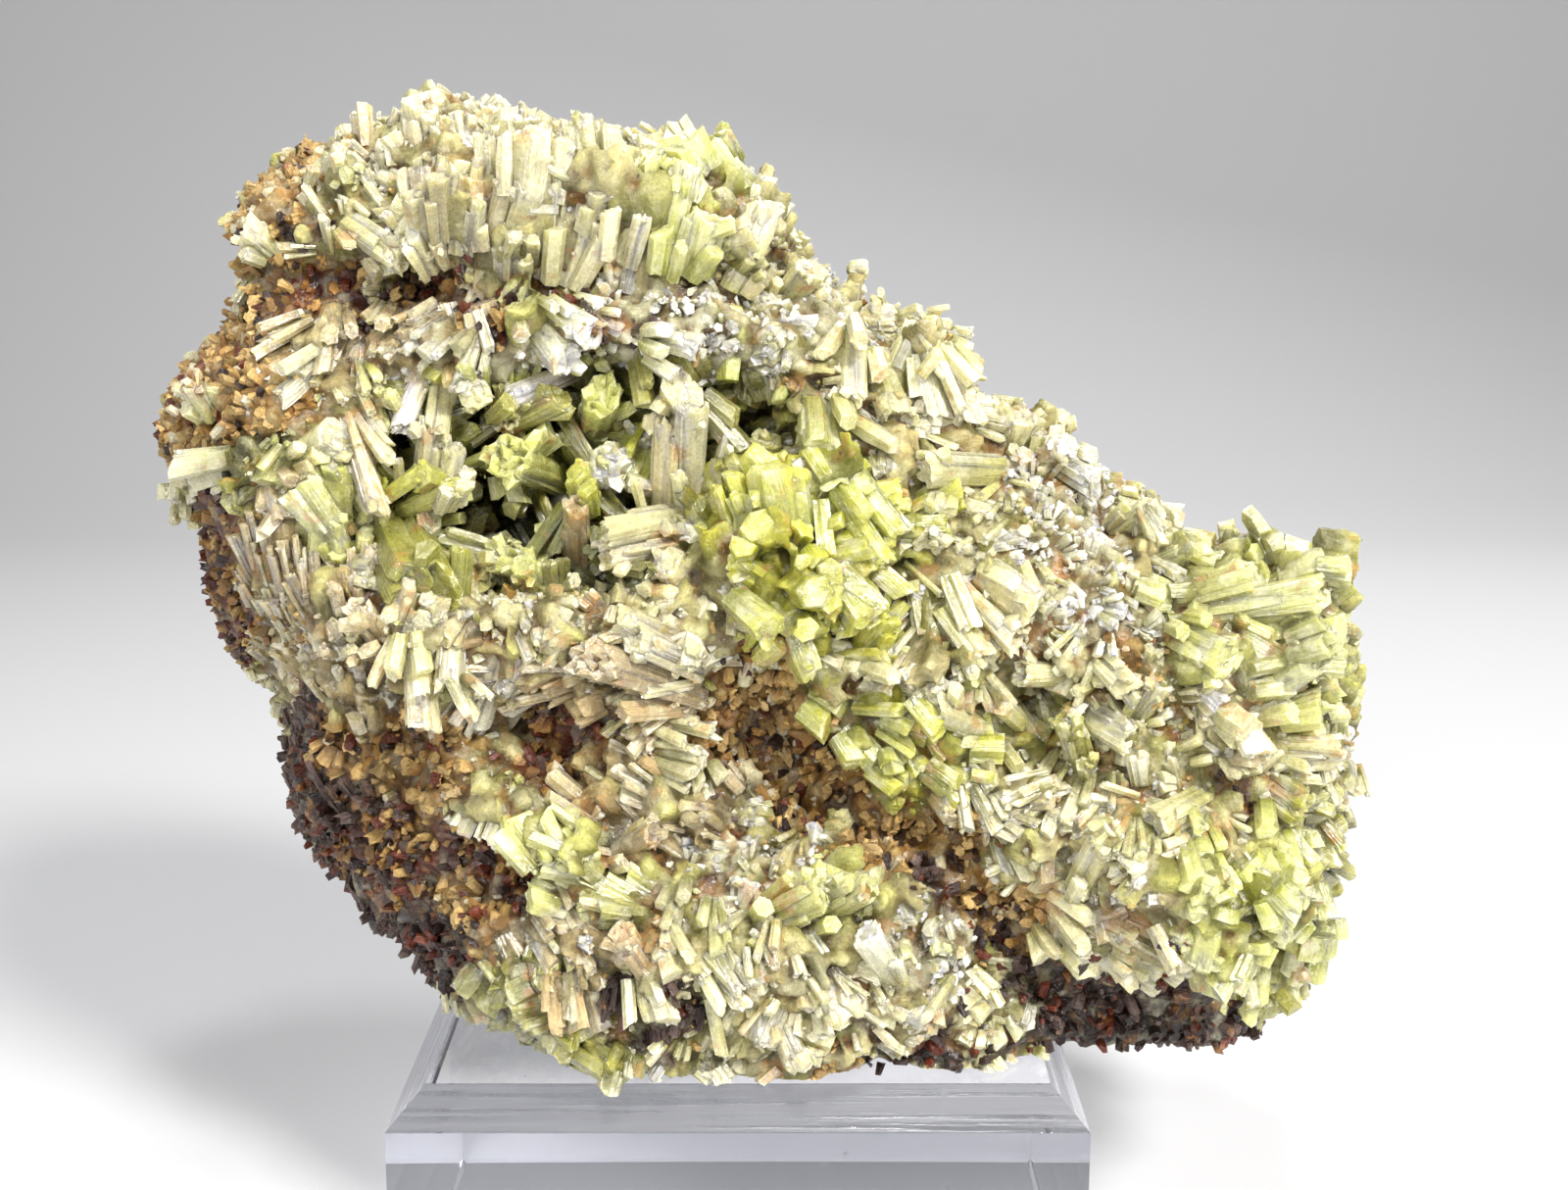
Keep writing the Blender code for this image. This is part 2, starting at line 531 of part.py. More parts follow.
def keep_largest_body(obj):
    """Drop the chips that a cut has left loose."""
    bm = bmesh.new()
    bm.from_mesh(obj.data)
    unseen = set(bm.verts)
    bodies = []
    while unseen:
        waiting = [unseen.pop()]
        body = list(waiting)
        while waiting:
            for edge in waiting.pop().link_edges:
                found = unseen.intersection(edge.verts)
                unseen -= found
                waiting += found
                body += found
        bodies.append(body)
    bodies.sort(key=len)
    bmesh.ops.delete(bm, geom=[vertex for body in bodies[:-1] for vertex in body], context="VERTS")
    bm.to_mesh(obj.data)
    bm.free()


def room_above_rest():
    """A box over all the space above the block's top."""
    bm = bmesh.new()
    bmesh.ops.create_cube(bm, size=1.0)
    for vertex in bm.verts:
        vertex.co = Vector((vertex.co.x * 0.3, vertex.co.y * 0.3, vertex.co.z * 0.2))
        vertex.co.z += 0.1 + (BLOCK_HEIGHT + REST_GAP) * MM
    return mesh_from(bm, "room above rest")


def make_specimen():
    mesh = thinned(shape_matrix(outline_blank()), MATRIX_TRIANGLES)
    open_out_mesh(mesh)
    specimen = add_object("pyromorphite_specimen", mesh)
    draw = random.Random(SEED)
    grow(specimen, back_crystals(draw) + face_crystals(draw))
    cutter = add_object("hollow_cutter", hollow_shell("hollow cutter", 0.0, fold=False), helper=True)
    open_out_mesh(cutter.data)
    combine(specimen, "DIFFERENCE", cutter)
    combine(specimen, "INTERSECT", add_object("rest_room", room_above_rest(), helper=True))
    keep_largest_body(specimen)
    specimen.data.materials.append(material("pyromorphite", SPECIMEN_COLOUR, 0.35))


def make_crust():
    crust = add_object("vug_crystals", hollow_shell("crust", CRUST_GAP, fold=True))
    limit = add_object("crust_limit", hollow_shell("limit", CRUST_GAP * 1.2, fold=False), helper=True)
    for shape in (crust, limit):
        open_out_mesh(shape.data)
    grow(crust, hollow_crystals(random.Random(SEED)), limit)
    keep_largest_body(crust)
    crust.data.materials.append(material("vug_crystal", CRUST_COLOUR, 0.25))


def make_block():
    bm = bmesh.new()
    bmesh.ops.create_cube(bm, size=1.0)
    size = Vector((BLOCK_WIDTH, BLOCK_WIDTH, BLOCK_HEIGHT)) * MM
    bmesh.ops.scale(bm, vec=size, verts=bm.verts)
    bmesh.ops.translate(bm, vec=(0, 0, size.z / 2), verts=bm.verts)
    top = [edge for edge in bm.edges if all(vertex.co.z > size.z / 2 for vertex in edge.verts)]
    bmesh.ops.bevel(bm, geom=top, offset=BLOCK_BEVEL * MM, segments=1, profile=0.5, affect="EDGES",
                    offset_type="OFFSET", material=-1)
    foot = [edge for edge in bm.edges if all(vertex.co.z < BLOCK_EDGE * MM for vertex in edge.verts)]
    bmesh.ops.bevel(bm, geom=foot, offset=BLOCK_EDGE * MM, segments=1, profile=0.5, affect="EDGES",
                    offset_type="OFFSET", material=-1)
    block = add_object("acrylic_block", mesh_from(bm, "acrylic_block"))
    block.data.materials.append(material("clear_acrylic", BLOCK_COLOUR, 0.03, transmission=1.0))


clear_scene()
make_block()
make_specimen()
make_crust()
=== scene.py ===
"""The looks of a pyromorphite specimen on a block of clear acrylic.

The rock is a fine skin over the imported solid. Thousands of hexagonal crystals grow on it in sheaves,
by zones of colour and habit. Places are millimetres. A place on the face is given as it is seen from
in front: x and z where the line of sight from EYE crosses the plane y = SIGHT_Y.
"""

import math
import random
from collections import namedtuple

import bmesh
import bpy
import numpy as np
from bpy.props import FloatProperty, FloatVectorProperty, IntProperty, PointerProperty
from bpy.types import Operator, Panel, PropertyGroup
from mathutils import Matrix, Vector, noise
from mathutils.bvhtree import BVHTree


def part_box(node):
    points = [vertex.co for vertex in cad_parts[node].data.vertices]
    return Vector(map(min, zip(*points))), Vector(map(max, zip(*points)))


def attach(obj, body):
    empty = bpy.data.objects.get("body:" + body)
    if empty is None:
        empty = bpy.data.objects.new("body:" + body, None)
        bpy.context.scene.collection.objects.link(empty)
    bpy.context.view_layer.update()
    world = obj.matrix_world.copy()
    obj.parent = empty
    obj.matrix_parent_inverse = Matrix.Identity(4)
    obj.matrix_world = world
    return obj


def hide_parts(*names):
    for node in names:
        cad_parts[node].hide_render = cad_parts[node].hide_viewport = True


bl_info = {
    "name": "Pyromorphite Specimen",
    "version": (1, 0, 0),
    "blender": (4, 5, 0),
    "location": "3D View > Sidebar > Pyromorphite",
    "description": "Dresses a pyromorphite specimen and its clear stand",
    "category": "Add Mesh",
}

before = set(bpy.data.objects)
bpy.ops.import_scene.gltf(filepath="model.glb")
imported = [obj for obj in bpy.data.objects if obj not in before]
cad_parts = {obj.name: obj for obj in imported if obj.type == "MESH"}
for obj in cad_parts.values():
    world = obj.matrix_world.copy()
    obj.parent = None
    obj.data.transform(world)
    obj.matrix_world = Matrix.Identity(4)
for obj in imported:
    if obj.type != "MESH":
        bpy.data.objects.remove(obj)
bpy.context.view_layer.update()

MM = 0.001

# The camera's place, the plane on which places of the face are given, and the specimen's lowest height,
# just above the block
EYE = Vector((5.0, -233.0, 127.0))
SIGHT_Y = -20.0
REST_Z = 32.3

SPECIMEN = "pyromorphite_specimen"
VUG = "vug_crystals"
BLOCK = "acrylic_block"

# Habits of growth: foot and tip colours, width and length of one prism, prisms in a sheaf, how far
# they splay in degrees, the gap between sheaves, how steeply they stand off the rock in degrees, how
# far they wander from the zone's aim in degrees, and the grains between them
Habit = namedtuple("Habit", "foot tip wide long count splay gap lift wander grains")
HABITS = {
    "massive": Habit("tan_tip", "cream", (1.1, 3.0), (1.8, 4.8), (3, 6), 12, 2.2, 16, 60, "cream"),
    "columns": Habit("cream", "cream", (1.7, 3.6), (4.5, 9.5), (3, 6), 5, 2.7, 11, 10, "cream"),
    "lime": Habit("lime", "lime_tip", (2.2, 4.4), (4.0, 8.0), (3, 6), 8, 3.1, 14, 22, "green"),
    "green": Habit("green", "lime_tip", (2.0, 4.2), (3.5, 7.5), (3, 6), 13, 3.0, 16, 45, "green"),
    "vivid": Habit("lime", "vivid_tip", (2.4, 4.8), (3.5, 7.5), (3, 6), 12, 3.1, 14, 45, "vivid"),
    "stubby": Habit("pale_green", "cream", (1.1, 3.0), (2.0, 4.8), (2, 5), 15, 2.4, 22, 90, "cream"),
    "spiky": Habit("pale_green", "cream", (1.0, 3.0), (2.8, 7.6), (3, 7), 17, 2.6, 14, 70, "cream"),
    "silver": Habit("tan_tip", "silver", (1.3, 2.5), (4.5, 8.5), (2, 5), 6, 2.8, 18, 22, "cream"),
    "druse": Habit("pale_green", "silver", (0.8, 2.0), (1.4, 3.4), (3, 7), 30, 2.0, 38, 180, "white"),
    "tan": Habit("tan", "tan_tip", (1.2, 2.6), (3.5, 7.5), (3, 6), 10, 2.6, 18, 26, "tan"),
    "fibres": Habit("tan", "tan_tip", (0.7, 1.5), (4.0, 8.0), (5, 9), 3, 2.1, 7, 8, "tan"),
    "purple": Habit("brown", "purple", (0.7, 1.6), (2.4, 5.0), (3, 6), 9, 2.6, 14, 20, "dark"),
    "olive": Habit("olive", "green", (1.8, 3.8), (3.0, 6.0), (2, 5), 14, 2.9, 24, 50, "green"),
    "ochre": Habit("ochre", "ochre_tip", (0.9, 1.9), (1.0, 2.6), (2, 4), 32, 2.6, 50, 180, "ochre"),
    "rust": Habit("rust", "ochre", (0.7, 1.6), (0.9, 2.4), (1, 3), 32, 3.2, 50, 180, "rust"),
    "bare": Habit("brown", "purple", (0.6, 1.3), (0.8, 1.8), (1, 3), 32, 4.0, 50, 180, "dark"),
    "plates": Habit("pale_green", "lime_tip", (2.6, 5.2), (3.5, 7.0), (2, 4), 7, 3.3, 8, 40, "green"),
}

# Habits of the bare, iron-stained rock
ROUGH_HABITS = ("ochre", "rust", "bare", "purple")

# Colours of the small grains that fill in between the crystals
GRAINS = {
    "cream": ("cream", "silver", "tan_tip", "pale_green", "pale_green", "green", "ochre_tip"),
    "white": ("silver", "silver", "cream", "cream", "tan_tip"),
    "green": ("lime_tip", "lime", "green", "pale_green", "cream"),
    "vivid": ("vivid_tip", "lime", "lime_tip", "green", "vivid_tip", "ochre_tip"),
    "tan": ("tan", "tan_tip", "ochre", "cream", "purple", "ochre_tip"),
    "ochre": ("ochre", "ochre_tip", "ochre_tip", "rust", "tan_tip", "brown", "ochre"),
    "rust": ("rust", "rust", "brown", "ochre", "ochre_tip", "purple"),
    "dark": ("brown", "brown", "rust", "purple"),
}

# Grains of the habits whose crystals are smooth
SMOOTH_GRAINS = ("green", "vivid")

# Other colours that turn up among the pale crystals
STRAYS = ("cream", "cream", "silver", "tan_tip", "lime_tip", "lime_tip", "green", "ochre_tip", "tan")

# Zones of the face: half-widths wide and high, turn in degrees, habit, aim of the growth in degrees
# from +X towards +Z, and strength
Zone = namedtuple("Zone", "x z wide high turn habit aim strength")
ZONES = {
    "cream crown": Zone(-31, 133, 9, 4.5, 0, "massive", 100, 1.2),
    "top ridge": Zone(-14, 131, 10, 2.6, 0, "stubby", 95, 1.0),
    "upper left end": Zone(-49, 125, 4.5, 5, 0, "ochre", 150, 1.2),
    "pale patch": Zone(-46, 120, 3, 2.4, 0, "stubby", 200, 1.1),
    "rust recess": Zone(-46, 116, 4.5, 3, 0, "rust", 180, 1.3),
    "left of the columns": Zone(-37, 124, 5, 5, 0, "stubby", 120, 0.9),
    "columns": Zone(-20, 124, 8, 5.6, 0, "columns", 83, 1.2),
    "lime columns": Zone(-6, 125, 5, 4.6, 0, "lime", 84, 1.2),
    "knobby end": Zone(3, 124, 5, 6, 0, "stubby", 60, 1.0),
    "crack": Zone(-35, 116.4, 11, 1.9, -4, "rust", 270, 1.9),
    "crack end": Zone(-16, 114.2, 5, 1.0, 0, "bare", 270, 1.7),
    "slit": Zone(-8, 114.2, 3, 0.8, 0, "bare", 270, 1.6),
    "under the crack": Zone(-38, 111, 8, 3.6, 0, "tan", 262, 1.1),
    "silver fan": Zone(-28, 110, 6, 4, 0, "silver", 250, 1.1),
    "apple cluster": Zone(-20, 113, 3, 2.2, 0, "lime", 240, 1.2),
    "white ledge": Zone(-7, 112.5, 12, 3.6, 0, "druse", 280, 1.2),
    "ledge end": Zone(10, 112.6, 5, 3.4, 0, "druse", 300, 0.9),
    "spiky slope": Zone(17, 105, 10, 6, -30, "spiky", -35, 1.1),
    "lower slope": Zone(26, 98, 8, 5.6, -40, "spiky", -40, 0.9),
    "white band": Zone(34, 96, 8, 3.6, -38, "druse", 30, 1.1),
    "down prisms": Zone(13, 97, 5, 4.6, 0, "spiky", 290, 1.0),
    "lime heart": Zone(4, 92, 6, 5, 0, "vivid", 100, 1.3),
    "lime fan": Zone(14, 90, 6, 5, 0, "vivid", 10, 1.2),
    "saturated foot": Zone(9, 84, 5.4, 4.4, 0, "vivid", 320, 1.3),
    "cream fans": Zone(27, 84, 7, 6, 0, "spiky", 300, 1.0),
    "grey cream": Zone(38, 85, 6.5, 6, 0, "druse", 330, 0.9),
    "shoulder": Zone(55, 84, 9, 5, 0, "plates", 20, 1.1),
    "plates": Zone(59, 75, 8, 6.6, 0, "plates", 20, 1.0),
    "brown spot": Zone(43, 78, 3.6, 2, 0, "ochre", 0, 0.9),
    "small prisms": Zone(49, 67, 13, 6.6, 0, "stubby", 10, 0.9),
    "tan druse": Zone(40, 57, 7, 6, 0, "spiky", 250, 0.9),
    "bright lime": Zone(58, 48, 7.6, 6.5, 0, "lime", 250, 1.2),
    "white slab": Zone(48, 50, 5, 3.6, 0, "massive", 200, 1.0),
    "blades": Zone(43, 43, 6, 3.2, -25, "columns", 325, 0.9),
    "grey-green edge": Zone(65, 50, 2.6, 7.6, 0, "olive", 350, 1.0),
    "olive foot": Zone(61, 36, 3.6, 3, 0, "olive", 290, 1.1),
    # Dark bare rock, spread wide and strong here partly as painted shade in the recess under the right mass
    "purple foot": Zone(46, 35, 12, 5, 0, "bare", 270, 2.4),
    "upper valley": Zone(2, 69, 5, 6.5, -20, "ochre", 270, 1.4),
    "middle valley": Zone(10, 61, 8, 4, -38, "ochre", 300, 1.3),
    "valley rust": Zone(8, 66, 3.4, 2.2, -38, "rust", 300, 1.2),
    "lower valley": Zone(20, 55.5, 8, 3.2, -20, "ochre", 300, 1.3),
    "valley foot": Zone(28, 49.5, 7, 3, -20, "ochre", 300, 1.2),
    "dark gap": Zone(29, 43, 4.4, 2.3, -20, "bare", 300, 1.7),
    "yellow patch": Zone(22, 65, 4.6, 3, 0, "vivid", 340, 1.3),
    "green bank": Zone(14, 71, 5, 4, 0, "vivid", 330, 1.0),
    "ochre bulge": Zone(-56, 107, 6, 8, 0, "ochre", 180, 1.3),
    "grey tips": Zone(-58, 107, 2.2, 2.4, 0, "druse", 170, 1.2),
    "grey-green spot": Zone(-50, 100, 2.8, 2, 0, "olive", 250, 1.0),
    "red side": Zone(-57, 87, 3, 10, 0, "rust", 270, 1.5),
    "tan flank": Zone(-51, 84, 4, 7, 0, "fibres", 92, 1.2),
    "left fan": Zone(-44, 90, 3.4, 4, 0, "green", 95, 1.1),
    "nodules": Zone(-51, 76, 2.4, 3.2, 0, "massive", 240, 0.9),
    "tan columns": Zone(-43, 76, 5, 6.5, 0, "tan", 85, 1.0),
    "rim": Zone(-22, 79, 20, 3.6, -4, "massive", 255, 1.0),
    "ochre band": Zone(-39, 65, 6.5, 5.6, 0, "ochre", 200, 1.3),
    "purple flank": Zone(-48, 62, 4, 7, 15, "purple", 100, 1.2),
    "rust band": Zone(-36, 53, 9, 3.6, -8, "rust", 270, 3.0),
    "brown flank": Zone(-43, 56, 4.2, 3.6, 0, "bare", 200, 1.1),
    "tan prisms": Zone(-17, 73, 9, 3.6, -15, "tan", 200, 1.0),
    "rust hollow": Zone(-19, 67, 6, 4, 0, "rust", 270, 1.4),
    "white tips": Zone(-28, 72, 3.4, 2.4, -30, "silver", 240, 1.0),
    "pale fibres": Zone(-11, 57, 9, 6, -20, "tan", 140, 0.9),
    "green fibres": Zone(-14, 51, 7, 4, -25, "green", 150, 0.8),
    "grey druse": Zone(1, 50, 6.5, 4, 0, "druse", 90, 1.1),
    "green streaks": Zone(11, 48, 5.6, 3, 25, "green", 35, 1.0),
    "olive fibres": Zone(-23, 44, 8, 4.6, -25, "tan", 310, 0.9),
    "ochre flank": Zone(-31, 47, 5, 5, 0, "ochre", 250, 1.2),
    "dark flank": Zone(-37, 45, 4.2, 5.6, 20, "bare", 250, 1.4),
    "pink lump": Zone(-8, 35, 3.6, 3.6, 0, "purple", 270, 1.6),
    # Painted shade: the dark olive habit of this zone stands for the shade on this foot of the specimen
    "smooth foot": Zone(-20, 32, 7, 5, -30, "olive", 220, 1.2),
    "pale foot": Zone(0, 34, 7.6, 4.4, 0, "spiky", 265, 0.9),
    "cream lump": Zone(18, 35, 6, 3.6, 0, "massive", 280, 1.0),
    "red foot": Zone(21, 29, 5, 2.4, 0, "bare", 270, 1.2),
    "ochre foot": Zone(13, 28, 2.8, 2.6, 0, "ochre", 270, 1.2),
    "pale knobs": Zone(31, 35, 3.8, 2.8, 0, "stubby", 290, 1.0),
    "spiky druse": Zone(21, 42, 5.4, 4.6, 0, "druse", 300, 1.0),
    "belly middle": Zone(-2, 41, 12, 6, 0, "spiky", 270, 0.7),
    # The dark purple habit of the lower left edge is partly rock colour, partly painted shade
    "lower left edge": Zone(-47, 43, 8, 12, 20, "purple", 250, 0.9),
    "pit in the ochre end": Zone(-45, 124, 2, 1.5, 0, "bare", 270, 1.9),
    "pit under the prism": Zone(-22, 118.6, 1.9, 1.3, 0, "rust", 270, 1.4),
    "valley pit": Zone(1, 69, 2.0, 1.5, 0, "bare", 270, 1.7),
    "upper belly pit": Zone(-17, 70, 3.2, 2.1, 0, "bare", 270, 1.8),
    "belly pit": Zone(-18, 62, 3.6, 2.3, 0, "rust", 270, 1.7),
    "pit of the dark flank": Zone(-37, 47, 2.6, 2.8, 0, "bare", 270, 2.0),
    "gap by the valley foot": Zone(23, 49, 2, 3.2, 20, "bare", 270, 1.9),
    "pit of the small prisms": Zone(55, 61, 1.7, 2.3, 0, "bare", 270, 1.7),
    "shaded hollow": Zone(36, 69, 4, 3.2, 0, "olive", 270, 1.5),
    "brown recess": Zone(3.6, 101, 3, 4.8, 0, "bare", 270, 1.6),
}
DEFAULT_ZONE = Zone(0, 80, 100, 100, 0, "spiky", 280, 0.25)
ALL_ZONES = (*ZONES.values(), DEFAULT_ZONE)

# How the bare rock looks under each habit
ROCK_UNDER = {
    "ochre": "ochre", "rust": "rust", "bare": "brown", "purple": "purple", "fibres": "tan",
    "tan": "tan", "massive": "tan", "druse": "tan", "olive": "olive",
}

# Large crystals: foot, tip, width of one prism and how many side by side
Crystal = namedtuple("Crystal", "x z to_x to_z width count habit", defaults=(1, None))
FACE_CRYSTALS = {
    "top lobe": [
        (-24.3, 122, -22, 128, 3.6), (-19, 118.5, -16.5, 127.5, 4, 2), (-13.6, 120.5, -12, 128, 3.6, 2),
        (-6.5, 119.5, -4.5, 127, 4, 2), (-1.5, 118, 0.5, 122.5, 3.6, 2), (1, 121, 3, 126, 3.7),
        (-40.5, 123.5, -35.5, 120, 3.4), (-35, 122.6, -30, 125.5, 2.6, 2), (-27.5, 122, -28.6, 129, 3),
        (-43, 128, -41, 131, 3.7),
    ],
    "under the crack": [
        (-31.6, 115, -30.4, 109.5, 2.6), (-28, 115, -26, 109, 3, 2), (-20, 113.5, -17, 110.6, 3.6, 2),
        (-9, 111.8, -4, 110.8, 2.8),
    ],
    "upper right slope": [
        (12, 112, 12, 104.5, 3.5), (15.5, 108.5, 17.5, 103, 3.6), (21, 110, 24, 102, 3.4, 2),
        (29.5, 100, 31, 103.4, 3.5), (12, 102, 18.8, 96, 3.4, 2), (27.5, 97.5, 20, 97.8, 3.8),
        (11, 93.8, 18.5, 94.6, 3.4), (11, 95, 16, 87, 3.1, 3), (36, 97.5, 39.4, 95.5, 3.5),
        (42, 90.5, 45.6, 93, 3.5), (22, 93, 21, 89, 3.8),
    ],
    "beside the hollow": [
        (9, 103, 10.4, 94.6, 4.4, 1, "green"), (4.6, 84.4, -0.6, 88, 3), (7.6, 86.6, 9.8, 82.5, 4.6),
        (2.6, 94, 4.5, 88.6, 4.6), (-44, 88, -45, 92.6, 3.3), (-50.6, 95.5, -49.6, 91, 3.7),
        (-47, 99.5, -43.5, 101.4, 4), (13.8, 77, 16.2, 81.6, 4), (1, 78.5, 4, 82.5, 3.5),
        (-57.5, 104, -59.5, 107.4, 3),
    ],
    "lower rim": [
        (-5.5, 72.6, -17, 76.4, 4.4), (-5, 75.5, -12, 79, 3.2), (-36, 78.5, -35.6, 68, 3.4),
        (-32, 78.5, -32.5, 72.6, 3.1), (-8, 78.6, -14, 81, 3.3), (-40, 79, -42.5, 82, 3.3),
    ],
    "right of the hollow": [
        (21.5, 84.5, 24.6, 72.2, 3.5, 2), (25.5, 83.6, 31, 78, 3.7, 3), (38, 74.4, 31.4, 74.6, 3),
        (13.5, 75.6, 23.5, 71.6, 3.3), (29, 68, 21, 71.4, 3.9), (38.4, 64, 36.6, 69.6, 2.9),
        (38.5, 69.8, 44, 66.6, 3.1), (40.5, 76, 44, 72.5, 3), (31, 60.4, 35.5, 60.8, 3.5),
        (45, 70, 47.5, 74, 3),
    ],
    "right shoulder": [
        (55.4, 85.6, 56.6, 85.6, 4.6), (52, 81.4, 64.6, 83.6, 4.8), (59, 80, 63, 81.6, 4.2),
        (58.5, 72, 64.6, 77, 5.1), (61, 66.4, 68, 66, 2.6), (50, 78.6, 54.5, 76.4, 4.6),
        (56, 69, 58.6, 65, 3.3), (60, 61.5, 64, 58.8, 3.5), (47, 87, 50.5, 88.4, 3.7),
    ],
    "lower right": [
        (39, 49.6, 42.4, 57, 3.5), (50.5, 53.8, 44, 50.4, 3.7), (56, 51, 59, 46.5, 5.1, 2),
        (60.5, 49, 63.6, 46, 4.6), (55, 43.6, 57.6, 40, 4.8), (52, 44.8, 51, 41.4, 4.2),
        (37, 48, 45.4, 42.6, 3.2), (36, 44.6, 40.6, 39.4, 4.2), (44, 41.4, 49, 38.6, 3.5),
        (61, 39.6, 61.4, 34.6, 4.2), (63.6, 57, 65.4, 51, 3.5), (52, 60, 47, 57, 3.5),
    ],
    "belly": [
        (4.8, 35, 2.7, 29.6, 2.8), (4.4, 33, 6.8, 27.6, 3.4), (4.5, 46, 9.4, 48.8, 3.7),
        (9.6, 45.6, 15, 49, 3.1), (17.2, 39, 14.4, 44, 3.1), (-21.5, 42.4, -22.5, 37, 3),
        (-20, 30.6, -25.4, 35, 3.7), (-19.4, 31, -14, 27.4, 4.4), (-24.6, 57.4, -22.4, 52, 3),
        (-21.5, 57.4, -17.4, 52.2, 2.8), (-13.4, 54, -9.6, 56, 3.3), (-11, 40, -13.6, 44, 3.1),
        (9, 38, 12.4, 33.4, 3.3),
    ],
    "upper edge": [
        (-33, 132.5, -33.4, 136.6, 3.7), (-22.8, 131.5, -22.2, 135, 2.9), (-6, 126.6, -5.4, 130, 3.4),
        (6, 116.6, 8.2, 119.2, 3.3), (18.6, 108, 21, 112, 3.5, 2), (33, 97, 35.6, 100.4, 3.4),
        (49, 86, 51, 89.8, 3.3), (61.5, 69, 66, 72.4, 3.3), (62.5, 54, 66.2, 52.4, 3.3),
        (-50, 121, -52.6, 123.6, 3.3),
    ],
}
HOLLOW_CRYSTALS = [
    (-40.5, 108, -38.6, 101.6, 2.4, 1, "green"), (-33.5, 109, -36.7, 101.8, 2.2, 1, "silver"),
    (-31.6, 109, -33, 100.6, 2.8, 1, "columns"), (-28.6, 108, -28.4, 105.6, 3.4, 1, "massive"),
    (-26.8, 106.4, -24.8, 102.8, 2.3, 1, "columns"), (-17.5, 108.4, -25.2, 105, 2.8, 1, "silver"),
    # The crystal at x -25, z 103 is given the olive habit as painted shade, for the shade it lies in
    (-25, 103, -19.5, 105.6, 3.6, 1, "olive"), (-42, 102.4, -39.4, 92.4, 2.7, 1, "massive"),
    (-39.8, 91.6, -31, 95.8, 2.7, 1, "green"), (-33.4, 95, -32, 102.6, 2.9, 2, "columns"),
    (-37.6, 92, -34, 84, 7.4, 1, "olive"), (-33, 91, -29.6, 85, 5.2, 1, "olive"),
    (-18, 95.6, -25.4, 99, 4.6, 1, "lime"), (-30.4, 89.6, -25, 88.2, 2.7, 1, "lime"),
    (-20.5, 85.4, -27.4, 87.6, 3, 1, "green"), (-16.8, 98, -14.6, 106, 4.6, 1, "lime"),
    (-14.6, 92, -14.4, 98.6, 4.2, 1, "silver"), (-9.4, 97.4, -10.6, 101.6, 2.4, 1, "silver"),
    (-8.6, 92, -7.8, 103.4, 3.2, 1, "columns"), (-5.6, 91.6, -5, 105, 3.4, 1, "columns"),
    (-7, 104, -6, 106, 4.6, 1, "massive"), (-3, 92.6, -0.6, 101.4, 2.4, 1, "columns"),
    (-3.6, 92.4, -15, 90.4, 3, 1, "columns"), (-4, 89.8, -15, 87.8, 3, 1, "columns"),
    (-17.6, 85.4, -17.8, 94, 3, 1, "tan"), (-6.4, 83.6, -8, 87.4, 3.2, 1, "columns"),
    (-22.6, 83.6, -24, 87, 3, 1, "green"), (-34, 83.4, -35.4, 86.6, 3, 1, "green"),
    (4.6, 97, 3, 101, 3, 1, "olive"),
]
SMALL_CRYSTALS = [
    (-13.2, 117, -13.6, 120, 2), (-37.4, 114.5, -39, 109, 1.9, 2), (-35.4, 114, -35.2, 107.5, 1.8),
    (9.5, 106, 7.6, 102.6, 1.8), (28, 88.3, 32, 88.8, 1.8, 2), (-0.4, 83.2, -1.8, 86.2, 1.8, 1, "druse"),
    (34.5, 81, 37.7, 82.4, 1.6, 1, "druse"), (19.5, 69.4, 16.5, 64.6, 1.7), (34.2, 78.8, 36.4, 76, 1.7),
    (51.8, 81.8, 46, 82.3, 2), (61, 63.6, 68.3, 64.3, 2), (50.8, 74, 54.5, 70.6, 2, 1, "druse"),
    (49, 53.4, 52.2, 55.4, 2, 1, "druse"), (-21.6, 45, -17, 42.2, 2, 1, "druse"),
    (-8.6, 30, -11.4, 26, 2, 2), (-25.3, 91, -24.8, 93.5, 0.8, 1, "druse"),
    (37, 69, 38.3, 71, 1.2, 1, "druse"), (37.2, 64.5, 40, 63, 1.4, 1, "druse"),
    (-23.3, 57, -23, 52, 1.2, 1, "druse"), (-16, 58, -14.5, 59.5, 1.6, 1, "druse"),
    (-29, 67.3, -27, 68.3, 1.2, 1, "druse"), (-39.5, 76.5, -38, 74.3, 1.2, 1, "druse"),
]

# Places tried for sheaves on each surface, and grains scattered over it
FACE_SAMPLES = 60000
BACK_SAMPLES = 26000
HOLLOW_SAMPLES = 9000
FACE_GRAINS = 11500
BACK_GRAINS = 5000

# A piece gets about this many crystals at most
PIECE_CRYSTALS = 4500

# The rock is built in slabs from left to right, each reaching a little way into the next
SLABS = 6
SEAM = 0.5

# Habits on the back, by how rich the growth is, richest first
BACK_HABITS = (
    (0.62, ("columns", "green", "spiky")), (0.3, ("spiky", "stubby", "druse")),
    (-0.05, ("massive", "tan", "druse")), (-0.55, ("ochre", "tan", "ochre", "rust")),
)
POOREST_HABITS = ("rust", "ochre", "bare")

# Left of and under each of these places, given as x and z, the back is as dark as the flank before it
DARK_CORNERS = ((-30, 62), (-48, 97))
DARK_HABITS = ("ochre", "purple", "bare")

# The foremost, backmost, highest and rightmost places that a crystal may reach
FOREMOST = -42.2
BACKMOST = 40.0
HIGHEST = 141.6
RIGHTMOST = 77.4

# Below this height the hollow lies in its own shade
SHADED_Z = 94.0

# How far down the block its bevel reaches
BEVEL_DROP = 3.9

# Crystals are this much darker where they grow out of the rock
FOOT_SHADE = 0.62

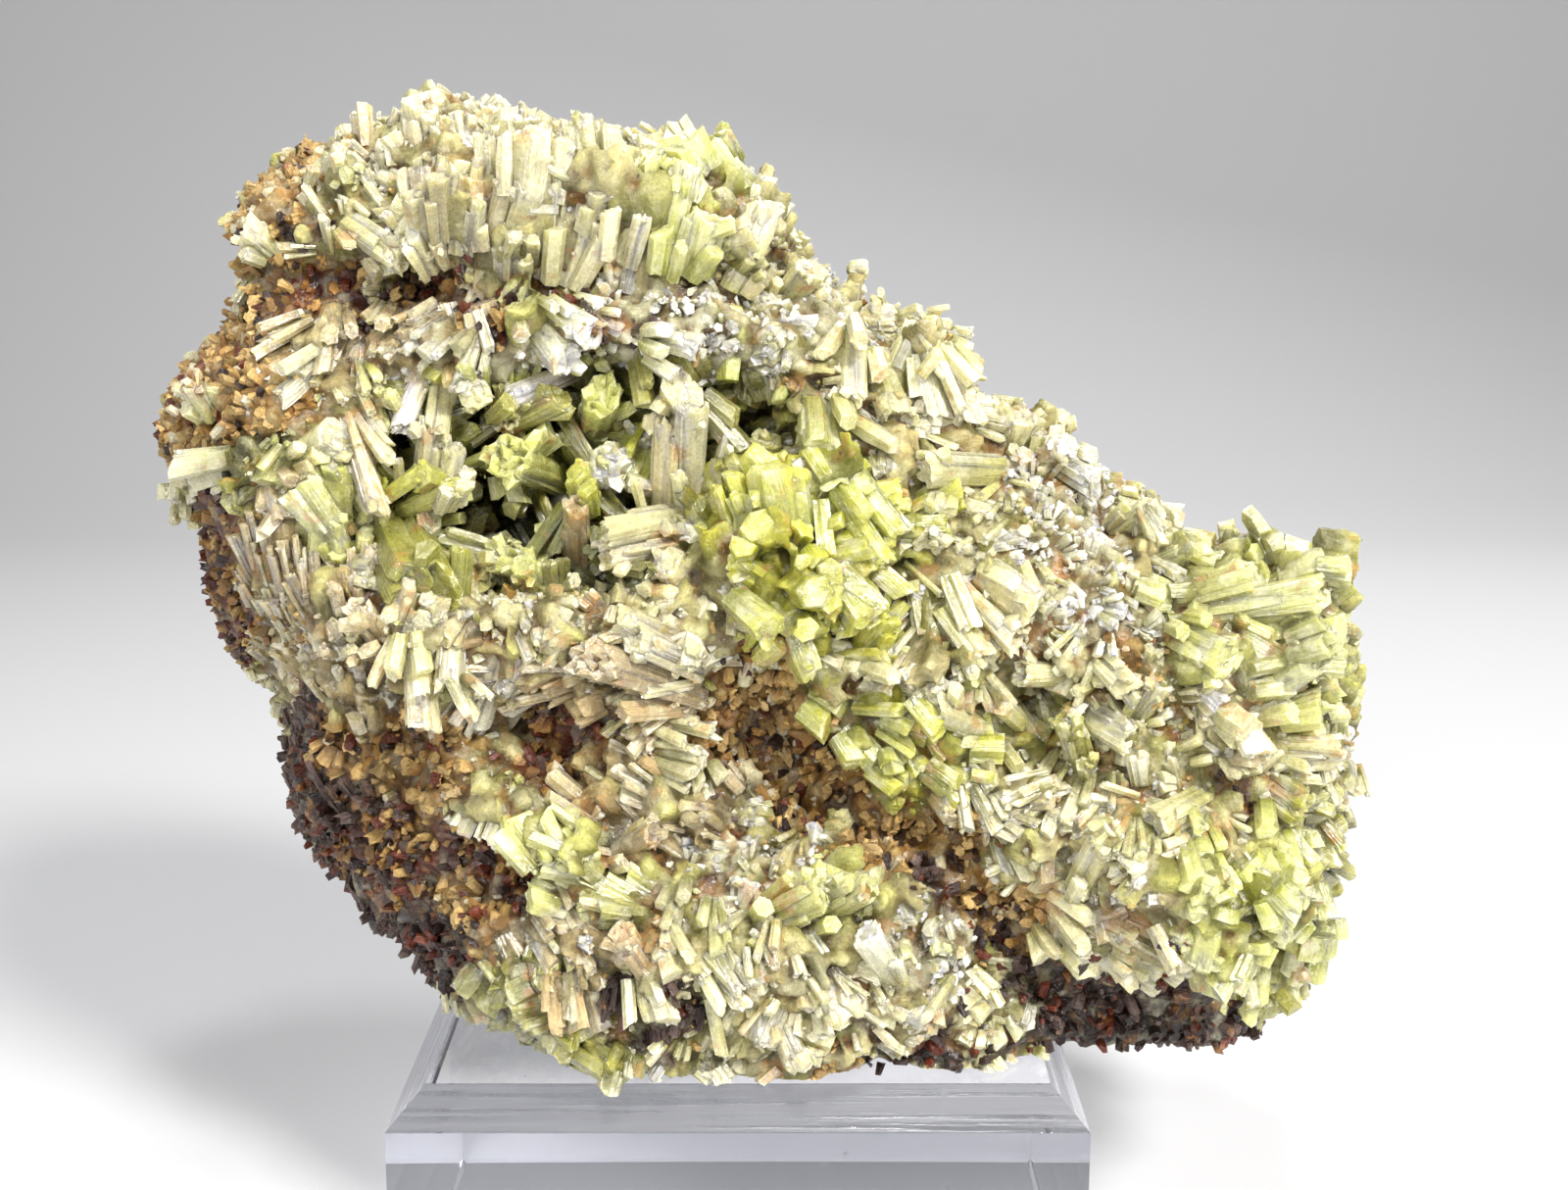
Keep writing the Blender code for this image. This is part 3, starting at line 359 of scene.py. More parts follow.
# How deep a sheaf is rooted in the rock, and the width from which its prisms are well formed
ROOT = 0.5
CRISP_WIDTH = 1.3

# The share of prisms with tiny crystals on their ends, on most habits and on the smooth ones
CRUMBLY = 0.4
SMOOTH_CRUMBLY = 0.12

# Rock that faces the eye by less than this cosine has shorter crystals
EDGE_ON = 0.45

# The whole mass of grown-together crystals is darkened by this colour, as painted shade in the gaps seen
# between the loose crystals, and browned by it; it is also stained in its crevices
SHADE_AND_STAIN = (0.60, 0.57, 0.43)

# The whitish crust on the crystals and the iron that stains them
CRUST_COLOUR = (0.80, 0.77, 0.53)
IRON_COLOUR = (0.42, 0.20, 0.06)

# A crystal whose foot is this much redder than green belongs to the iron-stained rock
STAINED_RED = 1.42

# Edges of a skin that turn by more than this stay sharp
CREASE = math.radians(48)

# Noise in the crystals' material: scale and detail, and for some the values it is spread between
PATCHES = (330.0, 2.0, 0.78, 1.12)
SPECKS = (2600.0, 2.0, 0.86, 1.14)
RIDGES = (3.4, 3.0, 0.0, 1.0)
CRUST_NOISE = (420.0, 5.0)
IRON_NOISE = (250.0, 5.0)
GLOSS_NOISE = (900.0, 2.0)

# Looks of the crystals: how smooth, index of refraction, light let in, clear skin, crust and iron
Look = namedtuple("Look", "smoothness ior glow coat crust iron", defaults=(1.0, 2.05, 0.6, 0.5, 0.5, 0.6))
CRYSTAL_LOOK = Look(1.3)
LARGE_LOOK = Look(1.6)
BACK_LOOK = Look(0.8)
STAINED_LOOK = Look(0.8, 1.45, 0.1, 0.2, 0.0, 0.5)
MASS_LOOK = Look(0.8, 1.45, 0.4, 0.25, 0.22, 0.5)
HOLLOW_LOOK = Look(1.6, crust=0.15)
HOLLOW_MASS_LOOK = Look(1.0, 1.6, 0.5, 0.4, 0.15, 0.3)

# Area lights: place, width and height in metres, power in watts and colour
Light = namedtuple("Light", "place size power colour", defaults=((1.0, 1.0, 1.0),))
LIGHTS = {
    "key": Light((0.34, -0.52, 0.62), (0.14, 0.14), 9.0, (1.0, 0.98, 0.95)),
    "front": Light((-0.14, -0.62, 0.34), (0.12, 0.12), 2.5),
    "top": Light((0.05, -0.2, 0.75), (0.1, 0.1), 2.0),
    "right": Light((0.55, -0.4, 0.2), (0.1, 0.1), 1.2),
    "left": Light((-0.6, -0.1, 0.35), (0.4, 0.4), 1.2, (0.94, 0.97, 1.0)),
    "back": Light((0.2, 0.45, 0.5), (0.5, 0.3), 2.5),
}
LIT_PLACE = (0, 0, 0.085)
WORLD_LIGHT = 0.13

# Where the floor starts to curve up into the wall, and the radius and steps of the curve, in metres
COVE_Y = 0.5
COVE_RADIUS = 0.4
COVE_STEPS = 10


class SpecimenSizes(PropertyGroup):
    seed: IntProperty(name="Seed", description="Draw of the crystals", default=7)
    rock_voxel: FloatProperty(
        name="Rock grain", description="Size of the rock's smallest facets", default=0.00057, unit="LENGTH")
    grain: FloatProperty(
        name="Roughness", description="Height of the rock's grain", default=0.0007, unit="LENGTH")
    vug_voxel: FloatProperty(
        name="Vug grain", description="Size of the hollow's smallest facets", default=0.0005, unit="LENGTH")


def colour_property(name, colour):
    return FloatVectorProperty(name=name, description=name + " of the specimen", subtype="COLOR",
                               size=3, default=colour, min=0.0, max=1.0)


class SpecimenColours(PropertyGroup):
    cream: colour_property("Cream", (0.76, 0.70, 0.41))
    silver: colour_property("Silver tips", (0.78, 0.76, 0.64))
    pale_green: colour_property("Pale green", (0.47, 0.45, 0.14))
    lime: colour_property("Lime", (0.42, 0.44, 0.06))
    lime_tip: colour_property("Lime tips", (0.68, 0.68, 0.25))
    vivid_tip: colour_property("Vivid tips", (0.58, 0.57, 0.07))
    green: colour_property("Yellow-green", (0.35, 0.33, 0.07))
    olive: colour_property("Olive", (0.19, 0.175, 0.045))
    tan: colour_property("Tan", (0.36, 0.26, 0.12))
    tan_tip: colour_property("Tan tips", (0.62, 0.50, 0.29))
    ochre: colour_property("Ochre", (0.34, 0.18, 0.045))
    ochre_tip: colour_property("Ochre tips", (0.62, 0.41, 0.15))
    rust: colour_property("Rust", (0.13, 0.024, 0.009))
    brown: colour_property("Brown", (0.032, 0.013, 0.009))
    purple: colour_property("Purple-brown", (0.125, 0.078, 0.066))


class StageSizes(PropertyGroup):
    lens: FloatProperty(name="Lens", description="Focal length in millimetres", default=45.0)
    pitch: FloatProperty(
        name="Pitch", description="How far the camera looks down",
        default=math.radians(11.54), subtype="ANGLE")
    floor: FloatProperty(name="Floor", description="Half the floor's width", default=1.6, unit="LENGTH")


def sizes():
    return bpy.context.scene.specimen_sizes


def palette():
    colours = bpy.context.scene.specimen_colours
    return {name: np.array(getattr(colours, name)) for name in SpecimenColours.__annotations__}


def to_flat(points):
    """The x and z of real places, in metres, as they are seen from in front."""
    mm = np.asarray(points) / MM
    spread = (mm[:, 1] - EYE.y) / (SIGHT_Y - EYE.y)
    return np.stack([EYE.x + (mm[:, 0] - EYE.x) / spread, EYE.z + (mm[:, 2] - EYE.z) / spread], axis=1)


def zone_weights(flat):
    """Rows of places, columns of zones. The zones' borders wander by a few millimetres."""
    x, z = flat[:, 0], flat[:, 1]
    warped_x = x + 1.7 * np.sin(0.52 * z + 1.4 * np.sin(0.33 * x)) + 0.9 * np.sin(1.31 * z + 0.7 * x)
    warped_z = z + 1.7 * np.sin(0.47 * x + 1.4 * np.sin(0.29 * z)) + 0.9 * np.sin(1.23 * x - 0.6 * z)
    columns = []
    for zone in ALL_ZONES:
        turn = math.radians(zone.turn)
        right, up = warped_x - zone.x, warped_z - zone.z
        along = (right * math.cos(turn) + up * math.sin(turn)) / zone.wide
        across = (up * math.cos(turn) - right * math.sin(turn)) / zone.high
        columns.append(zone.strength * np.exp(-0.8 * (along ** 2 + across ** 2)))
    return np.stack(columns, axis=1)


def linked(name, data):
    obj = bpy.data.objects.new(name, data)
    bpy.context.scene.collection.objects.link(obj)
    return obj


def mesh_from(bm, name):
    mesh = bpy.data.meshes.new(name)
    bm.to_mesh(mesh)
    bm.free()
    return mesh


def modified(obj):
    """The object's mesh with its modifiers applied. The object itself is deleted."""
    made = bpy.data.meshes.new_from_object(obj.evaluated_get(bpy.context.evaluated_depsgraph_get()))
    bpy.data.objects.remove(obj)
    return made


def merged_copy(node):
    bm = bmesh.new()
    bm.from_mesh(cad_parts[node].data)
    bmesh.ops.remove_doubles(bm, verts=bm.verts, dist=1e-6)
    return bm


def tree_of(node):
    bm = merged_copy(node)
    tree = BVHTree.FromBMesh(bm)
    bm.free()
    return tree


def new_piece(name, mesh, material_made, replaced=()):
    obj = linked(name, mesh)
    mesh.materials.clear()
    mesh.materials.append(material_made)
    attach(obj, "root")
    if replaced:
        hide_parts(*replaced)


def remeshed(mesh, voxel):
    """An even skin of small faces over everything in the mesh, grown together."""
    obj = linked("skin", mesh)
    remesh = obj.modifiers.new("even", "REMESH")
    remesh.mode = "VOXEL"
    remesh.voxel_size = voxel
    return modified(obj)


def grown_together(bm, crystals):
    """The solid in the bmesh and the crystals on it as one mesh, the solid's faces first."""
    solid_faces = len(bm.faces)
    bm.from_mesh(crystals)
    return mesh_from(bm, "grown together"), solid_faces


def slab_of(node, low, high):
    """The stretch of a node's solid between two places along X, closed again."""
    middle_z, span = 0.1, 0.4
    bm = bmesh.new()
    bmesh.ops.create_cube(bm, size=1.0, matrix=Matrix.LocRotScale(
        Vector(((low + high) / 2, 0, middle_z)), None, Vector((high - low, span, span))))
    box = linked("slab", mesh_from(bm, "slab"))
    obj = linked("skin", mesh_from(merged_copy(node), "solid"))
    cut = obj.modifiers.new("slab", "BOOLEAN")
    cut.operation = "INTERSECT"
    cut.solver = "MANIFOLD"
    cut.object = box
    slab = bmesh.new()
    slab.from_mesh(modified(obj))
    bpy.data.objects.remove(box)
    return slab


def nearest_faces(source, points):
    """For each point, the nearest face of the source mesh."""
    bm = bmesh.new()
    bm.from_mesh(source)
    tree = BVHTree.FromBMesh(bm)
    bm.free()
    return np.array([tree.find_nearest(Vector(point))[2] for point in points])


def carried_over(source, name, faces, points):
    """An attribute of the source mesh at each point, blended from up to eight corners of its nearest face."""
    width = 8
    starts = np.empty(len(source.polygons), np.int32)
    totals = np.empty(len(source.polygons), np.int32)
    source.polygons.foreach_get("loop_start", starts)
    source.polygons.foreach_get("loop_total", totals)
    corners = np.empty(len(source.loops), np.int32)
    source.loops.foreach_get("vertex_index", corners)
    layer = source.attributes[name]
    size = 4 if layer.data_type == "FLOAT_COLOR" else 3
    values = np.empty(len(source.vertices) * size, np.float32)
    layer.data.foreach_get("color" if size == 4 else "vector", values)
    values = values.reshape(-1, size)[:, :3]
    own = np.minimum(np.arange(width)[None, :], totals[faces][:, None] - 1)
    chosen = corners[starts[faces][:, None] + own]
    away = np.linalg.norm(places(source)[chosen] - points[:, None, :], axis=2)
    weights = 1 / (away ** 2 + 1e-8)
    weights[np.arange(width)[None, :] >= totals[faces][:, None]] = 0
    weights /= weights.sum(axis=1, keepdims=True)
    return (values[chosen] * weights[..., None]).sum(axis=1)


def crevices(mesh, rounds, depth):
    """Painted shade and light of each place, multiplied into its colour: dark where it lies under the
    smoothed-out surface, as the shade in a crevice, and light where it is proud. The shade is painted warmer.
    """
    points = places(mesh)
    ends = np.empty(len(mesh.edges) * 2, np.int32)
    mesh.edges.foreach_get("vertices", ends)
    first, second = ends[::2], ends[1::2]
    here, there = np.concatenate([first, second]), np.concatenate([second, first])
    neighbours = np.maximum(np.bincount(here, minlength=len(points)), 1)[:, None]
    smoothed = points
    for _ in range(rounds):
        sums = [np.bincount(here, weights=smoothed[there, axis], minlength=len(points)) for axis in range(3)]
        smoothed = np.stack(sums, axis=1) / neighbours
    normals = np.empty(len(points) * 3, np.float32)
    mesh.vertex_normals.foreach_get("vector", normals)
    under = ((smoothed - points) * normals.reshape(-1, 3)).sum(axis=1)
    shade = np.clip(0.96 - 0.55 * under / depth, 0.2, 1.15)[:, None]
    return shade ** np.array([0.85, 1.0, 1.25])


def stained(tints, points, shade):
    """Iron stains in patches, in the crevices of the mass."""
    colours = palette()
    patch = np.array([drift(Vector(point), 3.6, 61.0) for point in points])[:, None]
    share = np.clip((patch - 0.05) / 0.3, 0, 0.8) * np.clip((0.98 - shade[:, 1:2]) / 0.3, 0, 1)
    kind = np.array([noise.noise(Vector(point) / MM / 1.3) for point in points])[:, None]
    stain = np.where(kind > -0.15, colours["ochre"] * 1.4, colours["rust"] * 1.4)
    return tints * (1 - share) + stain * share


def dress(skin, joined, solid_faces, kind):
    """Gives a grown-together skin the colours and the grain of what it was made of, with painted shade in its
    crevices and painted light where it is proud, and, where its kind has one, iron stains and a colour of
    painted shade and brown tint over the whole.
    """
    points = places(skin)
    faces = nearest_faces(joined, points)
    tints = carried_over(joined, "colour", faces, points)
    bare = faces < solid_faces
    tints[bare] = kind.colours(points[bare])
    shade = crevices(skin, kind.rounds, kind.depth * MM)
    # Painted shade in the crevices; where the kind has its colour, this darkens the whole mass as painted
    # shade and browns it
    if kind.stain:
        tints = stained(tints, points, shade) * shade * np.array(kind.stain)
    else:
        tints = tints * shade
    set_colour(skin, np.clip(tints, 0, 1))
    set_grain(skin, carried_over(joined, "grain", faces, points))


def grains(place, size):
    """Height of granular rock: broken lumps with sharp creases, coarse and fine."""
    coarse = noise.voronoi(place / (size * 2.2))[0][0]
    fine = noise.voronoi(place / size)[0][0]
    return 1.1 * (0.45 - coarse) + 0.8 * (0.4 - fine) + 0.6 * noise.noise(place / (size * 4))


def places(mesh):
    points = np.empty(len(mesh.vertices) * 3, np.float32)
    mesh.vertices.foreach_get("co", points)
    return points.reshape(-1, 3).astype(float)


def roughened(mesh, height, size, sunk, lumps):
    """Sinks the skin a little and gives it grains, and lumps where the rock is bare."""
    bm = bmesh.new()
    bm.from_mesh(mesh)
    bm.normal_update()
    moves = []
    for vertex, lump in zip(bm.verts, lumps):
        place = vertex.co / MM
        rise = grains(place, size) * (0.55 + 0.45 * lump)
        if lump > 0.05:
            rise = rise * (1 + 0.6 * lump) + lump * 1.6 * (0.3 - abs(noise.noise(place / (size * 2.6))) * 2)
        moves.append(vertex.normal * (rise * height - sunk))
    for vertex, move in zip(bm.verts, moves):
        vertex.co += move
        vertex.co.z = max(vertex.co.z, REST_Z * MM)
    bm.to_mesh(mesh)
    bm.free()


def set_colour(mesh, colours):
    layer = mesh.attributes.new("colour", "FLOAT_COLOR", "POINT")
    full = np.ones((len(mesh.vertices), 4), np.float32)
    full[:, :3] = colours
    layer.data.foreach_set("color", full.ravel())


def set_grain(mesh, grain):
    layer = mesh.attributes.new("grain", "FLOAT_VECTOR", "POINT")
    layer.data.foreach_set("vector", grain.astype(np.float32).ravel())


def rock_colours(points):
    """Colour of the bare rock at each place, by zone on the face and mottled behind."""
    colours = palette()
    weights = zone_weights(to_flat(points))
    weights = weights ** 3
    weights /= weights.sum(axis=1, keepdims=True)
    table = []
    for zone in ALL_ZONES:
        habit = HABITS[zone.habit]
        # Painted shade: the rock under a crystal habit takes its foot colour made much darker, as the shade
        # between the crystals; the stained rock is made only a little darker
        light = 0.85 if zone.habit in ROUGH_HABITS else 0.55
        table.append(colours[ROCK_UNDER.get(zone.habit, habit.foot)] * light)
    face = weights @ np.array(table)
    mottle = np.array([noise.noise(Vector(point) / MM / 9) for point in points])[:, None]
    patch = np.array([drift(Vector(point), 13.0, 5.0) for point in points])[:, None]
    back = colours["ochre"] * (1.0 + 0.6 * mottle)
    back = np.where(patch > 0.1, colours["tan"] * 0.8 + colours["pale_green"] * 0.2, back)
    back = np.where(patch < -0.55, colours["rust"] * 1.5, back)
    border = np.array([border_wander(Vector(point)) for point in points])[:, None]
    share = np.clip((points[:, 1:2] / MM - 2 - border) / 4, 0, 1)
    return face * (1 - share) + back * share


def bareness(points):
    """How far each place of the face belongs to the bare, iron-stained rock."""
    weights = zone_weights(to_flat(points)) ** 3
    weights /= weights.sum(axis=1, keepdims=True)
    rough = np.array([zone.habit in ROUGH_HABITS for zone in ALL_ZONES])
    share = weights[:, rough].sum(axis=1)
    return np.where(points[:, 1] < 2 * MM, share, 0.6)


def hollow_colours(points):
    """Colour of the hollow's walls: yellow-green, painted darker the deeper they are, as the shade in the
    hollow.
    """
    colours = palette()
    depth = np.clip((points[:, 1:2] / MM + 27) / 14, 0, 1)
    return colours["green"] * 0.9 * (1 - depth) + colours["olive"] * 0.5 * depth


def unbroken(points):
    return np.zeros(len(points))


# Skins: size of the grains, how far they are sunk, where they are lumpy, colours of the bare rock,
# rounds of smoothing that find the crevices painted in shade, how deep these are, and the stain: a colour of
# painted shade and brown tint over the whole skin, which also brings its iron stains
Skin = namedtuple("Skin", "size sunk lumps colours rounds depth stain")
ROCK_SKIN = Skin(1.7, 0.0, bareness, rock_colours, 14, 0.55, SHADE_AND_STAIN)
HOLLOW_SKIN = Skin(1.1, 0.3, unbroken, hollow_colours, 10, 0.6, None)

# How high the grains stand in the hollow
HOLLOW_GRAIN = 0.2


def skinned(bm, crystals, voxel, height, kind):
    """One rough, coloured skin over a solid and the crystals that grow on it."""
    joined, solid_faces = grown_together(bm, crystals)
    skin = remeshed(joined, voxel)
    roughened(skin, height, kind.size, kind.sunk * MM, kind.lumps(places(skin)))
    dress(skin, joined, solid_faces, kind)
    skin.shade_smooth()
    skin.set_sharp_from_angle(angle=CREASE)
    return skin


Template = namedtuple("Template", "points loops starts")


def template_of(bm):
    """The shape as arrays: corners, the corners of each face, and where each face starts."""
    points = np.array([vertex.co for vertex in bm.verts])
    loops = [vertex.index for face in bm.faces for vertex in face.verts]
    starts = np.cumsum([0] + [len(face.verts) for face in bm.faces])[:-1]
    bm.free()
    return Template(points, np.array(loops), starts)


def top_face(bm):
    return max(bm.faces, key=lambda face: face.calc_center_median().z)


def new_prism(sides=6, foot=0.45):
    """A prism one unit wide and high, standing on its narrower foot."""
    bm = bmesh.new()
    bmesh.ops.create_cone(bm, cap_ends=True, segments=sides, radius1=foot, radius2=0.5, depth=1.0,
                          matrix=Matrix.Translation((0, 0, 0.5)))
    return bm


def halved(bm):
    """Cuts a prism's long edges in the middle."""
    upright = [edge for edge in bm.edges if abs(edge.verts[0].co.z - edge.verts[1].co.z) > 0.5]
    return bmesh.ops.subdivide_edges(bm, edges=upright, cuts=1)["geom_inner"]


def break_end(bm, draw, low, high):
    """Moves each corner of a prism's end up or down."""
    for vertex in bm.verts:
        if vertex.co.z > 0.9:
            vertex.co.z += draw.uniform(low, high)


def uneven(bm, draw, amount):
    """Makes the cross-section irregular, the same way all along the prism."""
    scales = {}
    for vertex in bm.verts:
        column = round(math.atan2(vertex.co.y, vertex.co.x) * 3)
        scale = scales.setdefault(column, draw.uniform(1 - amount, 1 + amount))
        vertex.co.x *= scale
        vertex.co.y *= scale
    return bm


def small_prism(draw):
    bm = uneven(new_prism(draw.choice((5, 6))), draw, 0.16)
    return template_of(bm)


def stepped_prism(draw, sides, middle, end):
    """A prism that swells or narrows along its length, with a raised or sunken end."""
    bm = new_prism(sides)
    ring = [item for item in halved(bm) if isinstance(item, bmesh.types.BMVert)]
    bmesh.ops.scale(bm, vec=(middle, middle, 1.0), verts=ring)
    bmesh.ops.translate(bm, vec=(0, 0, draw.uniform(-0.1, 0.2)), verts=ring)
    bmesh.ops.inset_region(bm, faces=[top_face(bm)], thickness=draw.uniform(0.07, 0.15), depth=end)
    uneven(bm, draw, 0.14)
    break_end(bm, draw, -0.05, 0.05)
    return template_of(bm)


def fluted_prism(draw):
    """A bundle in one piece: a hexagonal prism with a flute down each face, and an uneven end."""
    sides = 12
    bm = new_prism(sides, 0.44)
    depths = [draw.uniform(0.74, 0.9) if side % 2 else draw.uniform(0.94, 1.06) for side in range(sides)]
    for vertex in bm.verts:
        side = round(math.atan2(vertex.co.y, vertex.co.x) / math.tau * sides) % sides
        vertex.co.x *= depths[side]
        vertex.co.y *= depths[side]
    bmesh.ops.inset_region(bm, faces=[top_face(bm)], thickness=draw.uniform(0.08, 0.16),
                           depth=draw.uniform(-0.03, 0.05))
    break_end(bm, draw, -0.05, 0.04)
    return template_of(bm)


def hollow_prism(draw):
    """The end is sunk, as fast-grown crystals are."""
    bm = new_prism()
    bmesh.ops.inset_region(bm, faces=[top_face(bm)], thickness=0.13, depth=0.0)
    bmesh.ops.inset_region(bm, faces=[top_face(bm)], thickness=0.05, depth=-0.12)
    return template_of(uneven(bm, draw, 0.1))


def ridged_prism(draw):
    """A large crystal: many fine ridges down its sides, and a broken end."""
    sides = 18
    bm = new_prism(sides, 0.42)
    halved(bm)
    for vertex in bm.verts:
        angle = math.atan2(vertex.co.y, vertex.co.x)
        ridge = round(angle / math.tau * sides)
        hexagon = math.cos(math.pi / 6) / math.cos((angle % (math.pi / 3)) - math.pi / 6)
        scale = hexagon * (1.05 if ridge % 2 else 0.95) * draw.uniform(0.97, 1.03)
        vertex.co.x *= scale
        vertex.co.y *= scale
    bmesh.ops.inset_region(bm, faces=[top_face(bm)], thickness=0.09, depth=0.02)
    bmesh.ops.inset_region(bm, faces=[top_face(bm)], thickness=0.12, depth=-0.04)
    break_end(bm, draw, -0.05, 0.03)
    return template_of(uneven(bm, draw, 0.07))


def grain_chip(draw):
    """A tiny blocky crystal."""
    bm = bmesh.new()
    bmesh.ops.create_cone(bm, cap_ends=True, segments=5, radius1=0.5, radius2=0.36, depth=0.9,
                          matrix=Matrix.Translation((0, 0, 0.25)))
    for vertex in bm.verts:
        vertex.co += Vector((draw.uniform(-0.1, 0.1), draw.uniform(-0.1, 0.1), draw.uniform(-0.16, 0.16)))
    return template_of(bm)


Row = namedtuple("Row", "kind foot axis spin width length foot_colour tip_colour flatness slant")


def mesh_of(name, points, loops, starts):
    """A mesh from its corners, the corners of each face, and where each face starts."""
    mesh = bpy.data.meshes.new(name)
    mesh.vertices.add(len(points))
    mesh.vertices.foreach_set("co", points.astype(np.float32).ravel())
    mesh.loops.add(len(loops))
    mesh.loops.foreach_set("vertex_index", loops.astype(np.int32))
    mesh.polygons.add(len(starts))
    mesh.polygons.foreach_set("loop_start", starts.astype(np.int32))
    mesh.update(calc_edges=True)
    mesh.shade_flat()
    return mesh


class Growth:
    """Crystals waiting to be joined in one mesh."""

    def __init__(self, draw):
        self.draw = draw
        self.rows = []

    def add(self, kind, foot, axis, width, length, foot_colour, tip_colour, flatness=1.0):
        """One crystal, cut short where it would reach too far."""
        draw = self.draw
        slant = (draw.uniform(-0.45, 0.45), draw.uniform(-0.45, 0.45))
        tip = foot + axis * length
        over = max(
            0,
            (FOREMOST * MM + width / 2 - tip.y) / max(-axis.y, 0.05),
            (tip.z + width / 2 - HIGHEST * MM) / max(axis.z, 0.05),
            (tip.x + width / 2 - RIGHTMOST * MM) / max(axis.x, 0.05),
        )
        length = max(length - over, width * 0.3)
        self.rows.append(Row(kind, tuple(foot), tuple(axis), draw.uniform(0, math.tau), width, length,
                             tuple(foot_colour), tuple(tip_colour), flatness, slant))

    def sheaf(self, kinds, foot, axis, width, length, count, splay, foot_colour, tip_colour, crumbly=0.4):
        """Prisms side by side, splayed a little, with stepped ends. Sizes are in metres."""
        draw = self.draw
        side = axis.orthogonal().normalized()
        other = axis.cross(side)
        reach = width * math.sqrt(count) * 0.42
        for place in range(count):
            angle = draw.uniform(0, math.tau)
            out = 0.0 if place == 0 else reach * math.sqrt(draw.random())
            offset = (side * math.cos(angle) + other * math.sin(angle)) * out
            lean = axis + offset.normalized() * math.tan(math.radians(splay)) * (out / max(reach, 1e-9))
            own = length * (1.0 if place == 0 else draw.uniform(0.55, 1.0))
            light = draw.uniform(0.8, 1.15)
            lean.normalize()
            across = width * (1.15 if place == 0 else draw.uniform(0.4, 1.0))
            self.add(draw.choice(kinds), foot + offset - lean * own * 0.12, lean, across, own * 1.12,
                     foot_colour * light, tip_colour * draw.uniform(0.82, 1.1), draw.uniform(0.6, 1.0))
            if draw.random() < crumbly:
                self.crumbs(foot + offset + lean * own, lean, across, tip_colour, 2)

    def crumbs(self, tip, axis, width, colour, count):
        """Tiny crystals grown on a prism's end."""
        draw = self.draw
        for _ in range(count):
            way = Vector((draw.gauss(0, 1), draw.gauss(0, 1), draw.gauss(0, 1))).normalized()
            size = width * draw.uniform(0.25, 0.55)
            place = tip + (way - axis * way.dot(axis)) * width * 0.36 - axis * size * draw.uniform(0.1, 0.9)
            self.add(f"grain{draw.randrange(4)}", place, (axis + way * 0.8).normalized(), size,
                     size * draw.uniform(0.7, 1.5), colour * 0.9, colour * draw.uniform(0.9, 1.2))

    def scatter(self, spots, normals, width, length, colours):
        """Many grains at once, from arrays."""
        draw = self.draw
        for spot, normal, wide, long, colour in zip(spots, normals, width, length, colours):
            self.add(f"grain{draw.randrange(4)}", Vector(spot), Vector(normal), wide, long,
                     colour * 0.75, colour, draw.uniform(0.6, 1.0))

    def mesh(self, name, templates):
        """All the crystals as one mesh, with their colours and the grain that runs along them."""
        points, colours, grain, loops, starts = [], [], [], [], []
        made, corners = 0, 0
        for kind, template in templates.items():
            rows = [row for row in self.rows if row.kind == kind]
            if not rows:
                continue
            foot, axis, spin, width, length, first, last, flatness, slant = (
                np.array([getattr(row, field) for row in rows]) for field in Row._fields[1:])
            shape = template.points
            guide = np.where(np.abs(axis[:, 2:3]) > 0.9, [[1.0, 0, 0]], [[0, 0, 1.0]])
            side = np.cross(guide, axis)
            side /= np.linalg.norm(side, axis=1, keepdims=True)
            other = np.cross(axis, side)
            right = side * np.cos(spin)[:, None] + other * np.sin(spin)[:, None]
            ahead = np.cross(axis, right)
            x = shape[None, :, 0] * width[:, None]
            y = shape[None, :, 1] * (width * flatness)[:, None]
            z = shape[None, :, 2] * length[:, None]
            z = z + (shape[None, :, 2] > 0.8) * (slant[:, :1] * x + slant[:, 1:] * y)
            place = (foot[:, None, :] + right[:, None, :] * x[..., None] + ahead[:, None, :] * y[..., None]
                     + axis[:, None, :] * z[..., None])
            jitter = np.random.default_rng(len(rows)).uniform(-0.018, 0.018, place.shape)
            place += jitter * width[:, None, None]
            rise = np.clip(shape[:, 2], 0, 1)[None, :, None] ** 1.3
            points.append(place.reshape(-1, 3))
            colours.append((first[:, None, :] * (1 - rise) + last[:, None, :] * rise).reshape(-1, 3))
            own = np.stack([x, y, z * 0.08], axis=2) / MM + spin[:, None, None] * 40
            grain.append(own.reshape(-1, 3))
            count = len(shape)
            steps = made + np.arange(len(rows))[:, None] * count
            loops.append((template.loops[None, :] + steps).ravel())
            ends = corners + np.arange(len(rows))[:, None] * len(template.loops)
            starts.append((template.starts[None, :] + ends).ravel())
            made += count * len(rows)
            corners += len(template.loops) * len(rows)
        points = np.concatenate(points)
        points[:, 2] = np.maximum(points[:, 2], REST_Z * MM)
        points[:, 1] = np.maximum(points[:, 1], FOREMOST * MM)
        points[:, 0] = np.minimum(points[:, 0], RIGHTMOST * MM)
        mesh = mesh_of(name, points, np.concatenate(loops), np.concatenate(starts))
        set_colour(mesh, np.clip(np.concatenate(colours), 0, 1))
        set_grain(mesh, np.concatenate(grain))
        return mesh


